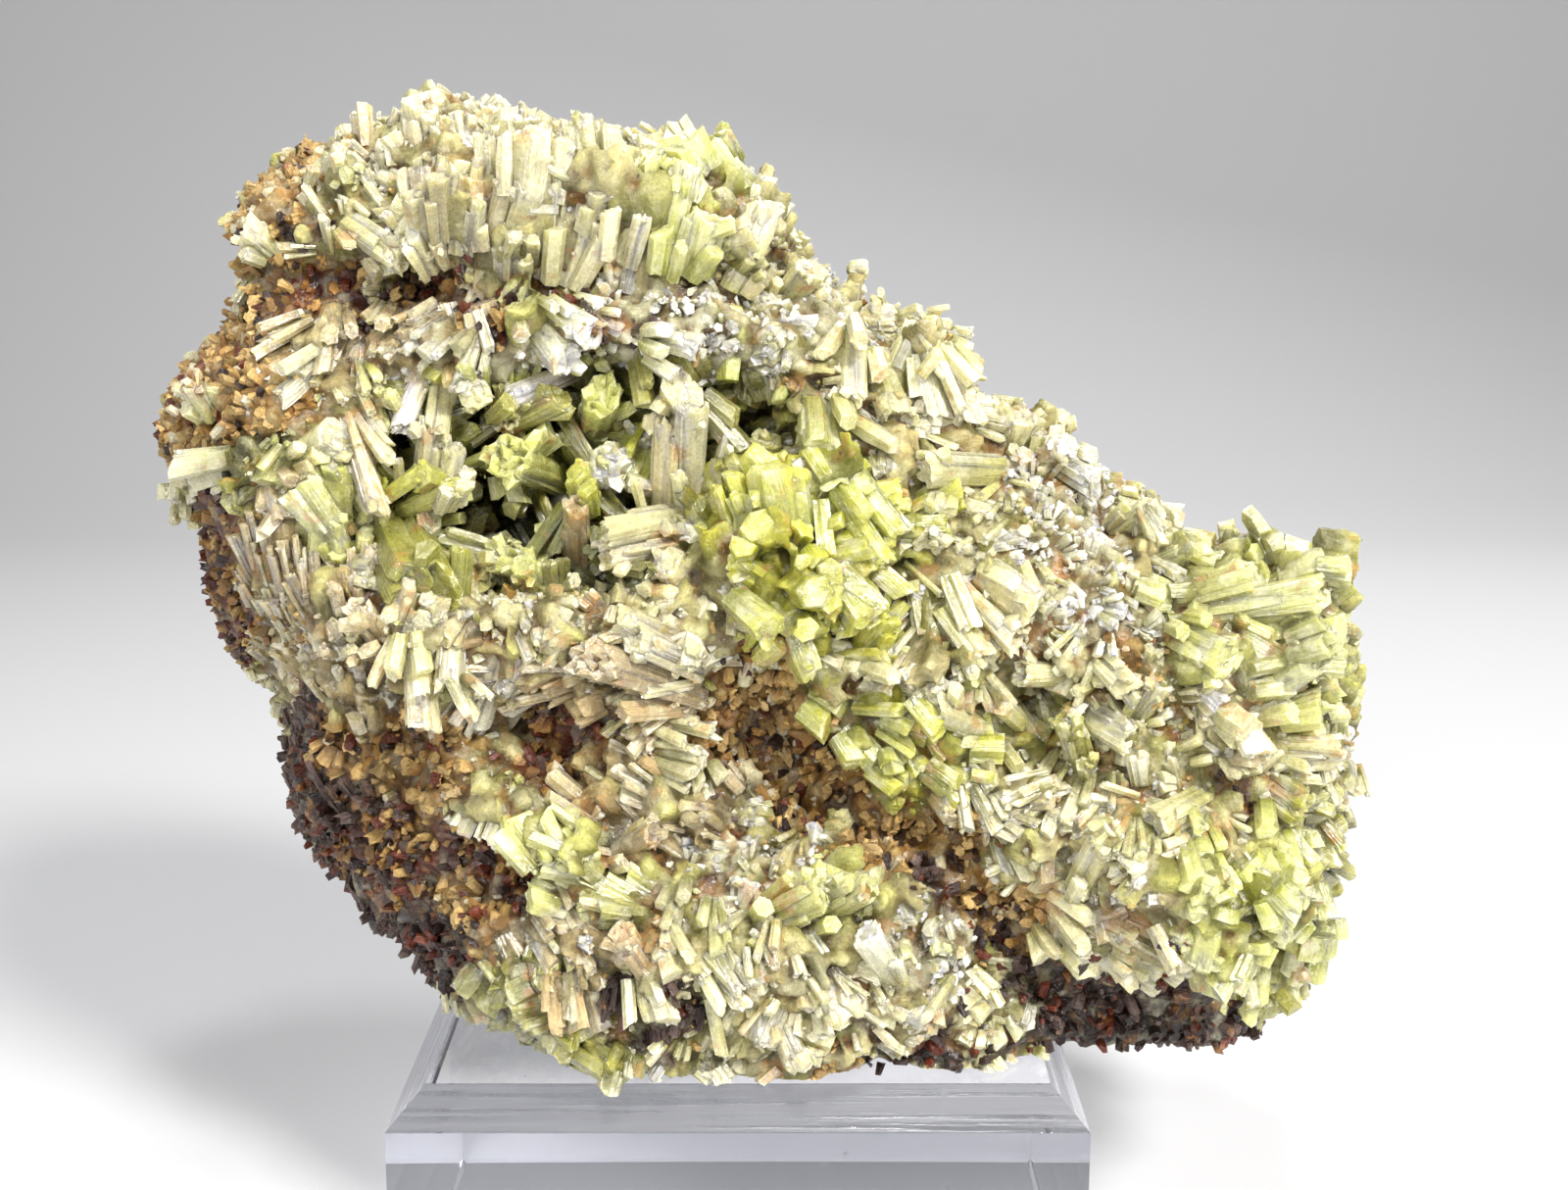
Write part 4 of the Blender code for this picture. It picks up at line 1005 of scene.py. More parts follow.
def templates(draw):
    """The shapes that the crystals are cast from, each drawn anew for a piece."""
    made = {f"small{number}": small_prism(draw) for number in range(4)}
    made |= {f"grain{number}": grain_chip(draw) for number in range(4)}
    made |= {f"ridged{number}": ridged_prism(draw) for number in range(3)}
    made |= {f"fluted{number}": fluted_prism(draw) for number in range(4)}
    made["even"] = stepped_prism(draw, 6, 1.04, 0.03)
    made["barrel"] = stepped_prism(draw, 6, 1.2, 0.05)
    made["waisted"] = stepped_prism(draw, 5, 0.9, -0.06)
    made["club"] = stepped_prism(draw, 7, 0.86, 0.09)
    made["hollow"] = hollow_prism(draw)
    return made


THIN_KINDS = ("small0", "small1", "small2", "small3")
CRISP_KINDS = ("fluted0", "fluted1", "fluted2", "fluted3", "even", "small2", "hollow", "barrel")
LARGE_KINDS = ("ridged0", "ridged1", "ridged2")


def samples(mesh, count, seed):
    """Random places on a mesh, even by area, with their normals."""
    mesh.calc_loop_triangles()
    corners = np.empty(len(mesh.loop_triangles) * 3, np.int32)
    mesh.loop_triangles.foreach_get("vertices", corners)
    tri = places(mesh)[corners.reshape(-1, 3)]
    cross = np.cross(tri[:, 1] - tri[:, 0], tri[:, 2] - tri[:, 0])
    area = np.linalg.norm(cross, axis=1)
    rng = np.random.default_rng(seed)
    chosen = rng.choice(len(tri), count, p=area / area.sum())
    u, v = rng.random((2, count))
    flip = u + v > 1
    u[flip], v[flip] = 1 - u[flip], 1 - v[flip]
    spots = tri[chosen, 0] + u[:, None] * (tri[chosen, 1] - tri[chosen, 0]) + v[:, None] * (
        tri[chosen, 2] - tri[chosen, 0])
    return spots, cross[chosen] / area[chosen][:, None]


def opened_out(x, y, z):
    """The real place, in metres, that is seen at x and z and lies at depth y."""
    spread = (y - EYE.y) / (SIGHT_Y - EYE.y)
    return Vector((EYE.x + (x - EYE.x) * spread, y, EYE.z + (z - EYE.z) * spread)) * MM


def depth_at(tree, x, z):
    """Depth in millimetres of what is seen at x and z, or None past the edge."""
    way = Vector((x, SIGHT_Y, z)) - EYE
    found = tree.ray_cast(EYE * MM, way.normalized())[0]
    return None if found is None else found.y / MM


def well_formed_at(x, z):
    """The habit of the strongest zone that grows well-formed crystals."""
    weights = zone_weights(np.array([[x, z]]))[0]
    weights[[zone.habit in ROUGH_HABITS for zone in ALL_ZONES]] = 0
    return ALL_ZONES[int(np.argmax(weights))].habit


def mixed(colours, habit, draw, strays=0.25):
    """The habit's foot and tip colours, tinged by one of the colours around them, or by a stray one."""
    stray = draw.random() < strays and habit.grains in ("cream", "white", "tan")
    other = colours[draw.choice(STRAYS if stray else GRAINS[habit.grains])]
    blend = draw.uniform(0.3, 0.75) if stray else draw.uniform(0.0, 0.4)
    light = draw.uniform(0.75, 1.1)
    return ((colours[habit.foot] * (1 - blend) + other * blend * 0.7) * light,
            (colours[habit.tip] * (1 - blend) + other * blend) * light)


def laid_out(tree, crystal, proud):
    """Foot and tip of a large crystal, in metres, or None off the face. Its front stands off the rock
    by a share of its width. One that is seen end on points forward."""
    foot_y, tip_y = depth_at(tree, crystal.x, crystal.z), depth_at(tree, crystal.to_x, crystal.to_z)
    if foot_y is None and tip_y is None:
        return None
    foot_y = tip_y if foot_y is None else foot_y
    tip_y = foot_y if tip_y is None else tip_y
    tip_y = min(tip_y, foot_y + 3) - proud * crystal.width
    if math.hypot(crystal.to_x - crystal.x, crystal.to_z - crystal.z) < crystal.width * 0.4:
        tip_y -= crystal.width * 0.8
    foot = opened_out(crystal.x, foot_y + crystal.width * 0.25, crystal.z)
    tip = opened_out(crystal.to_x, tip_y + crystal.width * 0.45, crystal.to_z)
    return foot, tip


def grow_large(growth, tree, rows, colours, proud=0.75, wider=1.2):
    """The large crystals that are known by their place: each a bundle of prisms, grown side by side,
    with smaller ones at its foot."""
    draw = growth.draw
    for row in rows:
        crystal = Crystal(*row)
        found = laid_out(tree, crystal, proud)
        if found is None:
            continue
        foot, tip = found
        habit = HABITS[crystal.habit or well_formed_at(crystal.to_x, crystal.to_z)]
        axis = (tip - foot).normalized()
        across = axis.cross(Vector((0, 1, 0))).normalized()
        ahead = axis.cross(across)
        length = (tip - foot).length
        width = crystal.width * wider * MM
        for place in range(crystal.count):
            shift = across * ((place - (crystal.count - 1) / 2) * 0.8 * width)
            shift += Vector((0, draw.uniform(-0.6, 0.6), 0)) * MM
            own = length * (1.0 if place == crystal.count // 2 else draw.uniform(0.75, 0.97))
            lean = (axis + shift / length * 0.3).normalized()
            start = foot + shift * 0.8 - lean * length * 0.08
            foot_colour, tip_colour = mixed(colours, habit, draw, 0.0)
            growth.add(draw.choice(LARGE_KINDS), start, lean, width * draw.uniform(0.85, 1.0), own * 1.05,
                       foot_colour, tip_colour, draw.uniform(0.8, 1.0))
            for _ in range(4):
                angle = draw.uniform(0, math.tau)
                beside = across * math.cos(angle) + ahead * math.sin(angle)
                light = draw.uniform(0.85, 1.15)
                growth.add(draw.choice(CRISP_KINDS), start + beside * width * draw.uniform(0.18, 0.36), lean,
                           width * draw.uniform(0.3, 0.5), own * draw.uniform(0.6, 1.05), foot_colour * light,
                           tip_colour * light)
            growth.crumbs(start + lean * own, lean, width, tip_colour, 3)
        for place in range(2 + 2 * crystal.count):
            angle = draw.uniform(0, math.tau)
            beside = across * math.cos(angle) + ahead * math.sin(angle)
            start = foot + beside * width * draw.uniform(0.3, 0.7) * math.sqrt(crystal.count)
            lean = (axis + beside * draw.uniform(0.1, 0.6)).normalized()
            foot_colour, tip_colour = mixed(colours, habit, draw)
            growth.add(draw.choice(CRISP_KINDS), start - lean * length * 0.05, lean,
                       width * draw.uniform(0.3, 0.6), length * draw.uniform(0.3, 0.7),
                       foot_colour, tip_colour)


def clear_of_large(tree, spots):
    """Which places don't lie under a large crystal."""
    clear = np.ones(len(spots), bool)
    for row in (row for rows in FACE_CRYSTALS.values() for row in rows):
        crystal = Crystal(*row)
        found = laid_out(tree, crystal, 0.3)
        if found is None:
            continue
        foot, along = np.array(found[0]), np.array(found[1] - found[0])
        share = np.clip((spots - foot) @ along / (along @ along), 0.15, 1)
        away = np.linalg.norm(spots - foot - share[:, None] * along, axis=1)
        clear &= away > crystal.width * (0.3 + 0.3 * crystal.count) * MM
    return clear


class Spacing:
    """Keeps sheaves apart: a grid of cells that holds the places taken so far."""

    def __init__(self, cell):
        self.cell = cell
        self.taken = {}

    def free(self, spot, gap):
        key = tuple(int(math.floor(c / self.cell)) for c in spot)
        reach = range(-1, 2)
        for dx in reach:
            for dy in reach:
                for dz in reach:
                    for other in self.taken.get((key[0] + dx, key[1] + dy, key[2] + dz), ()):
                        if (spot - other).length < gap:
                            return False
        self.taken.setdefault(key, []).append(spot)
        return True


def smooth_normal(tree, spot, normal):
    """The rock's lie over a few millimetres, so that chips don't turn a sheaf aside."""
    total = normal.copy()
    side = normal.orthogonal().normalized() * 2.5 * MM
    other = normal.cross(side)
    for way in (side, -side, other, -other):
        found = tree.find_nearest(spot + way)
        total += found[1]
    return total.normalized()


def seen_from_front(tree, spot, normal):
    start = spot + normal * 0.4 * MM
    way = EYE * MM - start
    return tree.ray_cast(start, way.normalized(), way.length)[0] is None


def drift(spot, scale, shift):
    """A number between about -1 and 1 that changes gradually over the specimen."""
    return 1.7 * noise.noise(spot / (scale * MM) + Vector((shift, 2.3 * shift, 0.7)))


def aimed(spot, normal, aim, habit, draw, rise):
    """Growth along the rock towards the aim, turning gradually from place to place by as much as the
    habit wanders, and standing off the rock by its lift."""
    turn = math.radians(aim)
    towards = Vector((math.cos(turn), -0.2, math.sin(turn)))
    along = towards - normal * towards.dot(normal)
    if along.length < 0.05:
        along = normal.orthogonal()
    along.normalize()
    wander = habit.wander * drift(spot, 6.5, 3.0) + draw.gauss(0, 3 + habit.wander * 0.16)
    along = Matrix.Rotation(math.radians(wander), 3, normal) @ along
    lift = habit.lift * rise * (1 + 0.7 * drift(spot, 5.0, 9.0)) + draw.gauss(0, 6)
    lift = math.radians(min(max(lift, 3), 88))
    return along * math.cos(lift) + normal * math.sin(lift)


def border_wander(spot):
    """How far the border between face and back strays here, in millimetres."""
    return 8 * drift(spot, 9.0, 41.0)


def behind(spot):
    """Whether a place belongs to the back. The border wanders over the sides."""
    return spot.y / MM > 4 + border_wander(spot)


# How sheaves are spaced, long, wide and steep against their habit: in the grown-together mass, and of the
# loose crystals on it
Growing = namedtuple("Growing", "spread long wide rise")
MASS = Growing(0.95, 0.66, 1.0, 0.85)
CRISP = Growing(0.95, 0.84, 1.0, 0.9)


def rooted_sheaf(growth, spot, normal, axis, width, length, habit, foot_colour, tip_colour, crumbly):
    """A sheaf of the habit, with its foot in the rock and darker there."""
    kinds = CRISP_KINDS if width > CRISP_WIDTH * MM else THIN_KINDS
    growth.sheaf(kinds, spot - normal * ROOT * MM, axis, width, length, growth.draw.randint(*habit.count),
                 habit.splay, foot_colour * FOOT_SHADE, tip_colour, crumbly)


def grow_on_face(growth, tree, mesh, colours, way):
    """Sheaves by zone. The way says how far apart, long, wide and steep against the habit's own."""
    draw = growth.draw
    spots, normals = samples(mesh, FACE_SAMPLES, sizes().seed)
    weights = zone_weights(to_flat(spots))
    jitter = np.random.default_rng(sizes().seed + 1).uniform(0.65, 1.35, weights.shape)
    best = np.argmax(weights * jitter, axis=1)
    clear = clear_of_large(tree, spots)
    spacing = Spacing(6 * MM)
    for spot, normal, which, open_here in zip(spots, normals, best, clear):
        if spot[2] < (REST_Z + 0.6) * MM or not open_here or behind(Vector(spot)):
            continue
        zone = ALL_ZONES[which]
        habit = HABITS[zone.habit]
        spot, normal = Vector(spot), Vector(normal)
        gap = habit.gap * MM * way.spread
        if not spacing.free(spot, gap * draw.uniform(0.8, 1.2)):
            continue
        normal = smooth_normal(tree, spot, normal)
        if spot.y < -2 * MM and normal.y > 0.2 and not seen_from_front(tree, spot, normal):
            continue
        axis = aimed(spot, normal, zone.aim, habit, draw, way.rise)
        size = min(max(draw.triangular(0, 1, 0.3) + 0.35 * drift(spot, 4.0, 17.0), 0), 1.2)
        width = (habit.wide[0] + (habit.wide[1] - habit.wide[0]) * size) * MM * way.wide
        length = (habit.long[0] + (habit.long[1] - habit.long[0]) * draw.random()) * MM * way.long
        if normal.dot((EYE * MM - spot).normalized()) < EDGE_ON:
            length *= 0.6
        if (spot + axis * length).z < (REST_Z + 0.3) * MM:
            length *= 0.4
        foot_colour, tip_colour = mixed(colours, habit, draw)
        crumbly = SMOOTH_CRUMBLY if habit.grains in SMOOTH_GRAINS else CRUMBLY
        rooted_sheaf(growth, spot, normal, axis, width, length, habit, foot_colour, tip_colour, crumbly)


def turned_aside(normals, rng, spread):
    ways = normals + rng.normal(0, spread, normals.shape)
    return ways / np.linalg.norm(ways, axis=1, keepdims=True)


def grains_on_face(growth, mesh, colours):
    """Grains of druse and iron-stained rock between the crystals."""
    rng = np.random.default_rng(sizes().seed + 11)
    spots, normals = samples(mesh, FACE_GRAINS * 2, sizes().seed + 12)
    front = (spots[:, 1] < 4 * MM) & (spots[:, 2] > (REST_Z + 0.5) * MM)
    spots, normals = spots[front][:FACE_GRAINS], normals[front][:FACE_GRAINS]
    weights = zone_weights(to_flat(spots))
    best = np.argmax(weights * rng.uniform(0.6, 1.4, weights.shape), axis=1)
    names = [GRAINS[HABITS[ALL_ZONES[which].habit].grains] for which in best]
    tints = np.array([colours[name[int(rng.integers(len(name)))]] for name in names])
    tints *= rng.uniform(0.55, 1.15, len(spots))[:, None]
    rough = bareness(spots)
    width = rng.uniform(0.4, 1.25, len(spots)) * (1 + 0.45 * rough) * MM
    length = width * rng.uniform(0.6, 1.7, len(spots))
    growth.scatter(spots - normals * 0.3 * MM, turned_aside(normals, rng, 0.55), width, length, tints)


def back_habit(spot, draw):
    """The back's growth, by patches: fans and druse where it is rich, stained rock where it is poor and
    behind the dark flank."""
    if any(spot.x < x * MM and spot.z < z * MM for x, z in DARK_CORNERS):
        return HABITS[draw.choice(DARK_HABITS)]
    patch = drift(spot, 13.0, 5.0) + draw.uniform(-0.15, 0.15)
    for limit, names in BACK_HABITS:
        if patch > limit:
            return HABITS[draw.choice(names)]
    return HABITS[draw.choice(POOREST_HABITS)]


def grow_on_back(growth, tree, mesh, colours, way):
    """Sparser sheaves on the sides and back, in fans that turn gradually."""
    draw = growth.draw
    spots, normals = samples(mesh, BACK_SAMPLES, sizes().seed + 2)
    spacing = Spacing(8 * MM)
    for spot, normal in zip(spots, normals):
        spot, normal = Vector(spot), Vector(normal)
        if spot.z < (REST_Z + 2) * MM or not behind(spot):
            continue
        habit = back_habit(spot, draw)
        if not spacing.free(spot, habit.gap * 1.3 * way.spread * draw.uniform(0.75, 1.2) * MM):
            continue
        normal = smooth_normal(tree, spot, normal)
        axis = aimed(spot, normal, 180 * drift(spot, 24.0, 29.0), habit, draw, way.rise)
        foot_colour, tip_colour = mixed(colours, habit, draw)
        width = draw.uniform(*habit.wide) * way.wide * MM
        length = draw.uniform(*habit.long) * way.long * 0.8 * MM
        length = min(length, max((BACKMOST * MM - spot.y - width / 2) / max(axis.y, 0.05), width * 0.3))
        rooted_sheaf(growth, spot, normal, axis, width, length, habit, foot_colour, tip_colour * 0.9, 0.3)


def grains_on_back(growth, mesh, colours):
    """Grains of druse and stained rock over the back."""
    rng = np.random.default_rng(sizes().seed + 21)
    spots, normals = samples(mesh, BACK_GRAINS * 2, sizes().seed + 22)
    back = (spots[:, 1] > 2 * MM) & (spots[:, 2] > (REST_Z + 1) * MM)
    spots, normals = spots[back][:BACK_GRAINS], normals[back][:BACK_GRAINS]
    names = [*GRAINS["tan"], *GRAINS["ochre"], *GRAINS["cream"]]
    tints = np.array([colours[names[int(which)]] for which in rng.integers(len(names), size=len(spots))])
    tints *= rng.uniform(0.55, 1.1, len(spots))[:, None]
    width = rng.uniform(0.6, 1.6, len(spots)) * MM
    ways = turned_aside(normals, rng, 0.5)
    growth.scatter(spots - normals * 0.3 * MM, ways, width, width * rng.uniform(0.5, 1.4, len(spots)), tints)


def grow_in_hollow(growth, tree, mesh, colours, gap, wide, long):
    """Yellow-green crystals on the hollow's walls, painted darker the deeper they are and below SHADED_Z, as
    the hollow's shade, where more of them are olive.
    """
    draw = growth.draw
    spots, normals = samples(mesh, HOLLOW_SAMPLES, sizes().seed + 31)
    spacing = Spacing(5 * MM)
    for spot, normal in zip(spots, normals):
        spot, normal = Vector(spot), Vector(normal)
        if normal.y > 0.5 or not spacing.free(spot, gap * MM):
            continue
        if not seen_from_front(tree, spot, normal):
            continue
        # Painted shade: deeper and lower in the hollow the crystals are more often olive, and darker
        deep = min(max((spot.y / MM + 26) / 16, 0), 1)
        shaded = 0.2 + 0.5 * deep + (0.4 if spot.z < SHADED_Z * MM else 0.0)
        habit = HABITS["olive" if draw.random() < shaded else draw.choice(("green", "lime", "vivid"))]
        axis = (normal + Vector((draw.gauss(0, 0.6), draw.gauss(0, 0.4), draw.gauss(0, 0.6)))).normalized()
        foot_colour, tip_colour = mixed(colours, habit, draw)
        light = (1.0 - 0.45 * deep) * (0.55 if spot.z < SHADED_Z * MM else 0.95)
        growth.sheaf(CRISP_KINDS, spot - normal * ROOT * MM, axis, draw.uniform(*wide) * MM,
                     draw.uniform(*long) * MM, draw.randint(2, 4), 14,
                     foot_colour * light, tip_colour * light, 0.1)


def shader_of(made):
    return made.node_tree.nodes["Principled BSDF"]


def new_material(name, values):
    """A material with the given values in its shader's sockets."""
    made = bpy.data.materials.new(name)
    made.use_nodes = True
    for socket, value in values.items():
        shader_of(made).inputs[socket].default_value = value
    return made


def new_node(made, kind, values=None, operation=None):
    """A node with the given values in its sockets."""
    node = made.node_tree.nodes.new(kind)
    if operation:
        node.operation = operation
    for socket, value in (values or {}).items():
        node.inputs[socket].default_value = value
    return node


def attribute(made, name):
    node = new_node(made, "ShaderNodeAttribute")
    node.attribute_name = name
    return node


def noise_between(made, vector, scale, detail, low, high):
    """Noise over the piece, spread from low to high."""
    texture = new_node(made, "ShaderNodeTexNoise", {"Scale": scale, "Detail": detail, "Roughness": 0.6})
    spread = new_node(made, "ShaderNodeMapRange",
                      {"From Min": 0.35, "From Max": 0.65, "To Min": low, "To Max": high})
    made.node_tree.links.new(vector, texture.inputs["Vector"])
    made.node_tree.links.new(texture.outputs["Fac"], spread.inputs["Value"])
    return spread.outputs["Result"]


def tinted(made, factors, layers):
    """Base colour: the mesh's own, made lighter and darker by the factors, under layers of other colours
    that each come with their share from place to place."""
    links = made.node_tree.links
    last = attribute(made, "colour").outputs["Color"]
    for factor in factors:
        scale = new_node(made, "ShaderNodeVectorMath", operation="SCALE")
        links.new(last, scale.inputs[0])
        links.new(factor, scale.inputs["Scale"])
        last = scale.outputs["Vector"]
    for share, layer in layers:
        mix = made.node_tree.nodes.new("ShaderNodeMix")
        mix.data_type = "RGBA"
        links.new(share, mix.inputs[0])
        links.new(last, mix.inputs[6])
        mix.inputs[7].default_value = (*layer, 1.0)
        last = mix.outputs[2]
    links.new(last, shader_of(made).inputs["Base Color"])


def bumped(made, height, strength, distance, under=None):
    links = made.node_tree.links
    bump = new_node(made, "ShaderNodeBump", {"Strength": strength, "Distance": distance * MM})
    links.new(height, bump.inputs["Height"])
    if under:
        links.new(under, bump.inputs["Normal"])
    links.new(bump.outputs["Normal"], shader_of(made).inputs["Normal"])
    return bump.outputs["Normal"]


def crystal_material(name, look):
    """Waxy, wet-looking crystal that lets some light in: colour from the mesh, fine ridges along each
    prism, a whitish crust and iron stains in patches, and a clear skin that glints."""
    made = new_material(name, {
        "IOR": look.ior, "Coat Weight": look.coat, "Coat Roughness": 0.07, "Coat IOR": 1.6,
        "Subsurface Weight": look.glow, "Subsurface Radius": (1.0, 1.0, 0.35),
        "Subsurface Scale": 2.2 * MM,
    })
    shader, links = shader_of(made), made.node_tree.links
    place = new_node(made, "ShaderNodeTexCoord").outputs["Object"]
    patches = noise_between(made, place, *PATCHES)
    specks = noise_between(made, place, *SPECKS)
    layers = []
    if look.crust:
        crust = noise_between(made, place, *CRUST_NOISE, -look.crust, look.crust)
        layers.append((crust, CRUST_COLOUR))
    if look.iron:
        iron = noise_between(made, place, *IRON_NOISE, -3.5 * look.iron, look.iron)
        layers.append((iron, IRON_COLOUR))
    tinted(made, (patches, specks), layers)
    gloss = noise_between(made, place, *GLOSS_NOISE, 0.14 / look.smoothness, 0.5 / look.smoothness)
    links.new(gloss, shader.inputs["Roughness"])
    ridges = noise_between(made, attribute(made, "grain").outputs["Vector"], *RIDGES)
    under = bumped(made, ridges, 0.5, 0.24)
    glints = bumped(made, specks, 0.75 / look.smoothness, 0.2, under)
    links.new(glints, shader.inputs["Coat Normal"])
    return made


def acrylic_material():
    """Clear acrylic with a faint cool tint: saw lines on its bevel, pits and scratches elsewhere."""
    made = new_material("clear_acrylic", {
        "Base Color": (0.97, 0.975, 1.0, 1.0), "Transmission Weight": 1.0, "IOR": 1.49})
    shader, links = shader_of(made), made.node_tree.links
    place = new_node(made, "ShaderNodeTexCoord").outputs["Object"]
    apart = new_node(made, "ShaderNodeSeparateXYZ")
    links.new(place, apart.inputs["Vector"])
    bevel_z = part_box(BLOCK)[1][2] - BEVEL_DROP * MM / 2
    sawn = new_node(made, "ShaderNodeMath", {1: bevel_z, 2: BEVEL_DROP * MM * 0.48}, "COMPARE")
    links.new(apart.outputs["Z"], sawn.inputs[0])
    stretch = new_node(made, "ShaderNodeMapping", {"Scale": (18.0, 18.0, 1500.0)})
    links.new(place, stretch.inputs["Vector"])
    saw_lines = noise_between(made, stretch.outputs["Vector"], 1.0, 5.0, 0.06, 0.62)
    pits = new_node(made, "ShaderNodeTexVoronoi", {"Scale": 190.0})
    links.new(place, pits.inputs["Vector"])
    specks = new_node(made, "ShaderNodeMapRange", {"From Max": 0.1, "To Min": 0.5, "To Max": 0.012})
    links.new(pits.outputs["Distance"], specks.inputs["Value"])
    rough = new_node(made, "ShaderNodeMath", operation="MULTIPLY_ADD")
    links.new(saw_lines, rough.inputs[0])
    links.new(sawn.outputs["Value"], rough.inputs[1])
    links.new(specks.outputs["Result"], rough.inputs[2])
    links.new(rough.outputs["Value"], shader.inputs["Roughness"])
    height = new_node(made, "ShaderNodeMath", operation="MULTIPLY")
    links.new(saw_lines, height.inputs[0])
    links.new(sawn.outputs["Value"], height.inputs[1])
    bumped(made, height.outputs["Value"], 0.6, 0.12)
    depth = new_node(made, "ShaderNodeVolumeAbsorption", {"Color": (0.62, 0.66, 1.0, 1.0), "Density": 2.2})
    links.new(depth.outputs["Volume"], made.node_tree.nodes["Material Output"].inputs["Volume"])
    return made


def is_stained(row):
    """Whether a crystal belongs to the iron-stained rock, by the colour of its foot."""
    return row.foot_colour[0] > STAINED_RED * row.foot_colour[1]


def dressed(name, growth, material_made):
    new_piece(name, growth.mesh(name, templates(growth.draw)), material_made)


def dressed_in_parts(name, growth, material_made, most):
    """Several pieces from left to right, so that none gets too many faces. The iron-stained crystals are
    duller and make a piece of their own."""
    rows = sorted(growth.rows, key=lambda row: row.foot[0])
    growth.rows = [row for row in rows if is_stained(row)]
    if growth.rows:
        dressed(name + "_stained", growth, crystal_material(name + "_stained", STAINED_LOOK))
    rows = [row for row in rows if not is_stained(row)]
    parts = 1 + len(rows) // most
    for part in range(parts):
        growth.rows = rows[part * len(rows) // parts:(part + 1) * len(rows) // parts]
        dressed(f"{name}_{part + 1}", growth, material_made)


class PYROMORPHITE_OT_rock(Operator):
    """Build the rock and the mass of crystals that have grown into one another on it"""

    bl_idname = "pyromorphite.rock"
    bl_label = "Rock"

    def execute(self, context):
        settings = sizes()
        colours = palette()
        growth = Growth(random.Random(settings.seed + 40))
        tree = tree_of(SPECIMEN)
        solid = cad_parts[SPECIMEN].data
        grow_on_face(growth, tree, solid, colours, MASS)
        grow_on_back(growth, tree, solid, colours, MASS)
        rows, shapes = growth.rows, templates(growth.draw)
        made = crystal_material("grown_mass", MASS_LOOK)
        low, high = (corner[0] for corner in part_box(SPECIMEN))
        for part in range(SLABS):
            start = low + (high - low) * part / SLABS
            end = start + (high - low) / SLABS
            last = part == SLABS - 1
            growth.rows = [row for row in rows
                           if (part == 0 or row.foot[0] >= start) and (last or row.foot[0] < end)]
            slab = slab_of(SPECIMEN, start - SEAM * MM, end + SEAM * MM)
            mass = growth.mesh("mass", shapes)
            skin = skinned(slab, mass, settings.rock_voxel, settings.grain, ROCK_SKIN)
            new_piece(f"rock_{part + 1}", skin, made, (SPECIMEN,) if part == 0 else ())
        return {"FINISHED"}


class PYROMORPHITE_OT_face_crystals(Operator):
    """Grow the sheaves of crystals that cover the face"""

    bl_idname = "pyromorphite.face_crystals"
    bl_label = "Face crystals"

    def execute(self, context):
        growth = Growth(random.Random(sizes().seed))
        grow_on_face(growth, tree_of(SPECIMEN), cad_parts[SPECIMEN].data, palette(), CRISP)
        made = crystal_material("crystal", CRYSTAL_LOOK)
        dressed_in_parts("face_crystals", growth, made, PIECE_CRYSTALS)
        return {"FINISHED"}


class PYROMORPHITE_OT_grains(Operator):
    """Scatter the grains of druse and stained rock between the crystals"""

    bl_idname = "pyromorphite.grains"
    bl_label = "Grains"

    def execute(self, context):
        growth = Growth(random.Random(sizes().seed + 10))
        grains_on_face(growth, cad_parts[SPECIMEN].data, palette())
        made = crystal_material("druse_grain", Look())
        dressed_in_parts("grains", growth, made, FACE_GRAINS)
        return {"FINISHED"}


class PYROMORPHITE_OT_large_crystals(Operator):
    """Grow the large crystals of the face, each in its own place"""

    bl_idname = "pyromorphite.large_crystals"
    bl_label = "Large crystals"

    def execute(self, context):
        growth = Growth(random.Random(sizes().seed + 5))
        tree = tree_of(SPECIMEN)
        for rows in (*FACE_CRYSTALS.values(), SMALL_CRYSTALS):
            grow_large(growth, tree, rows, palette())
        dressed("large_crystals", growth, crystal_material("large_crystal", LARGE_LOOK))
        return {"FINISHED"}


class PYROMORPHITE_OT_back_crystals(Operator):
    """Grow the sparser crystals and the grains on the sides and back"""

    bl_idname = "pyromorphite.back_crystals"
    bl_label = "Back crystals"

    def execute(self, context):
        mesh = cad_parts[SPECIMEN].data
        made = crystal_material("back_crystal", BACK_LOOK)
        growth = Growth(random.Random(sizes().seed + 3))
        grow_on_back(growth, tree_of(SPECIMEN), mesh, palette(), CRISP)
        dressed_in_parts("back_crystals", growth, made, PIECE_CRYSTALS)
        growth = Growth(random.Random(sizes().seed + 4))
        grains_on_back(growth, mesh, palette())
        dressed("back_grains", growth, made)
        return {"FINISHED"}


class PYROMORPHITE_OT_vug(Operator):
    """Build the crust of the hollow and its crystals"""

    bl_idname = "pyromorphite.vug"
    bl_label = "Hollow"

    def execute(self, context):
        settings = sizes()
        growth = Growth(random.Random(settings.seed + 8))
        tree = tree_of(VUG)
        colours = palette()
        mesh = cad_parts[VUG].data
        grow_in_hollow(growth, tree, mesh, colours, 2.3, (1.0, 2.2), (1.4, 3.0))
        mass = growth.mesh("mass", templates(growth.draw))
        crust = skinned(merged_copy(VUG), mass, settings.vug_voxel, HOLLOW_GRAIN * MM, HOLLOW_SKIN)
        new_piece("vug_crust", crust, crystal_material("vug_mass", HOLLOW_MASS_LOOK), (VUG,))
        growth = Growth(random.Random(settings.seed + 7))
        grow_in_hollow(growth, tree, mesh, colours, 3.0, (1.4, 3.4), (3.0, 7.0))
        grow_large(growth, tree, HOLLOW_CRYSTALS, colours, 1.6, 1.25)
        dressed("vug_crystals_grown", growth, crystal_material("vug_crystal", HOLLOW_LOOK))
        return {"FINISHED"}


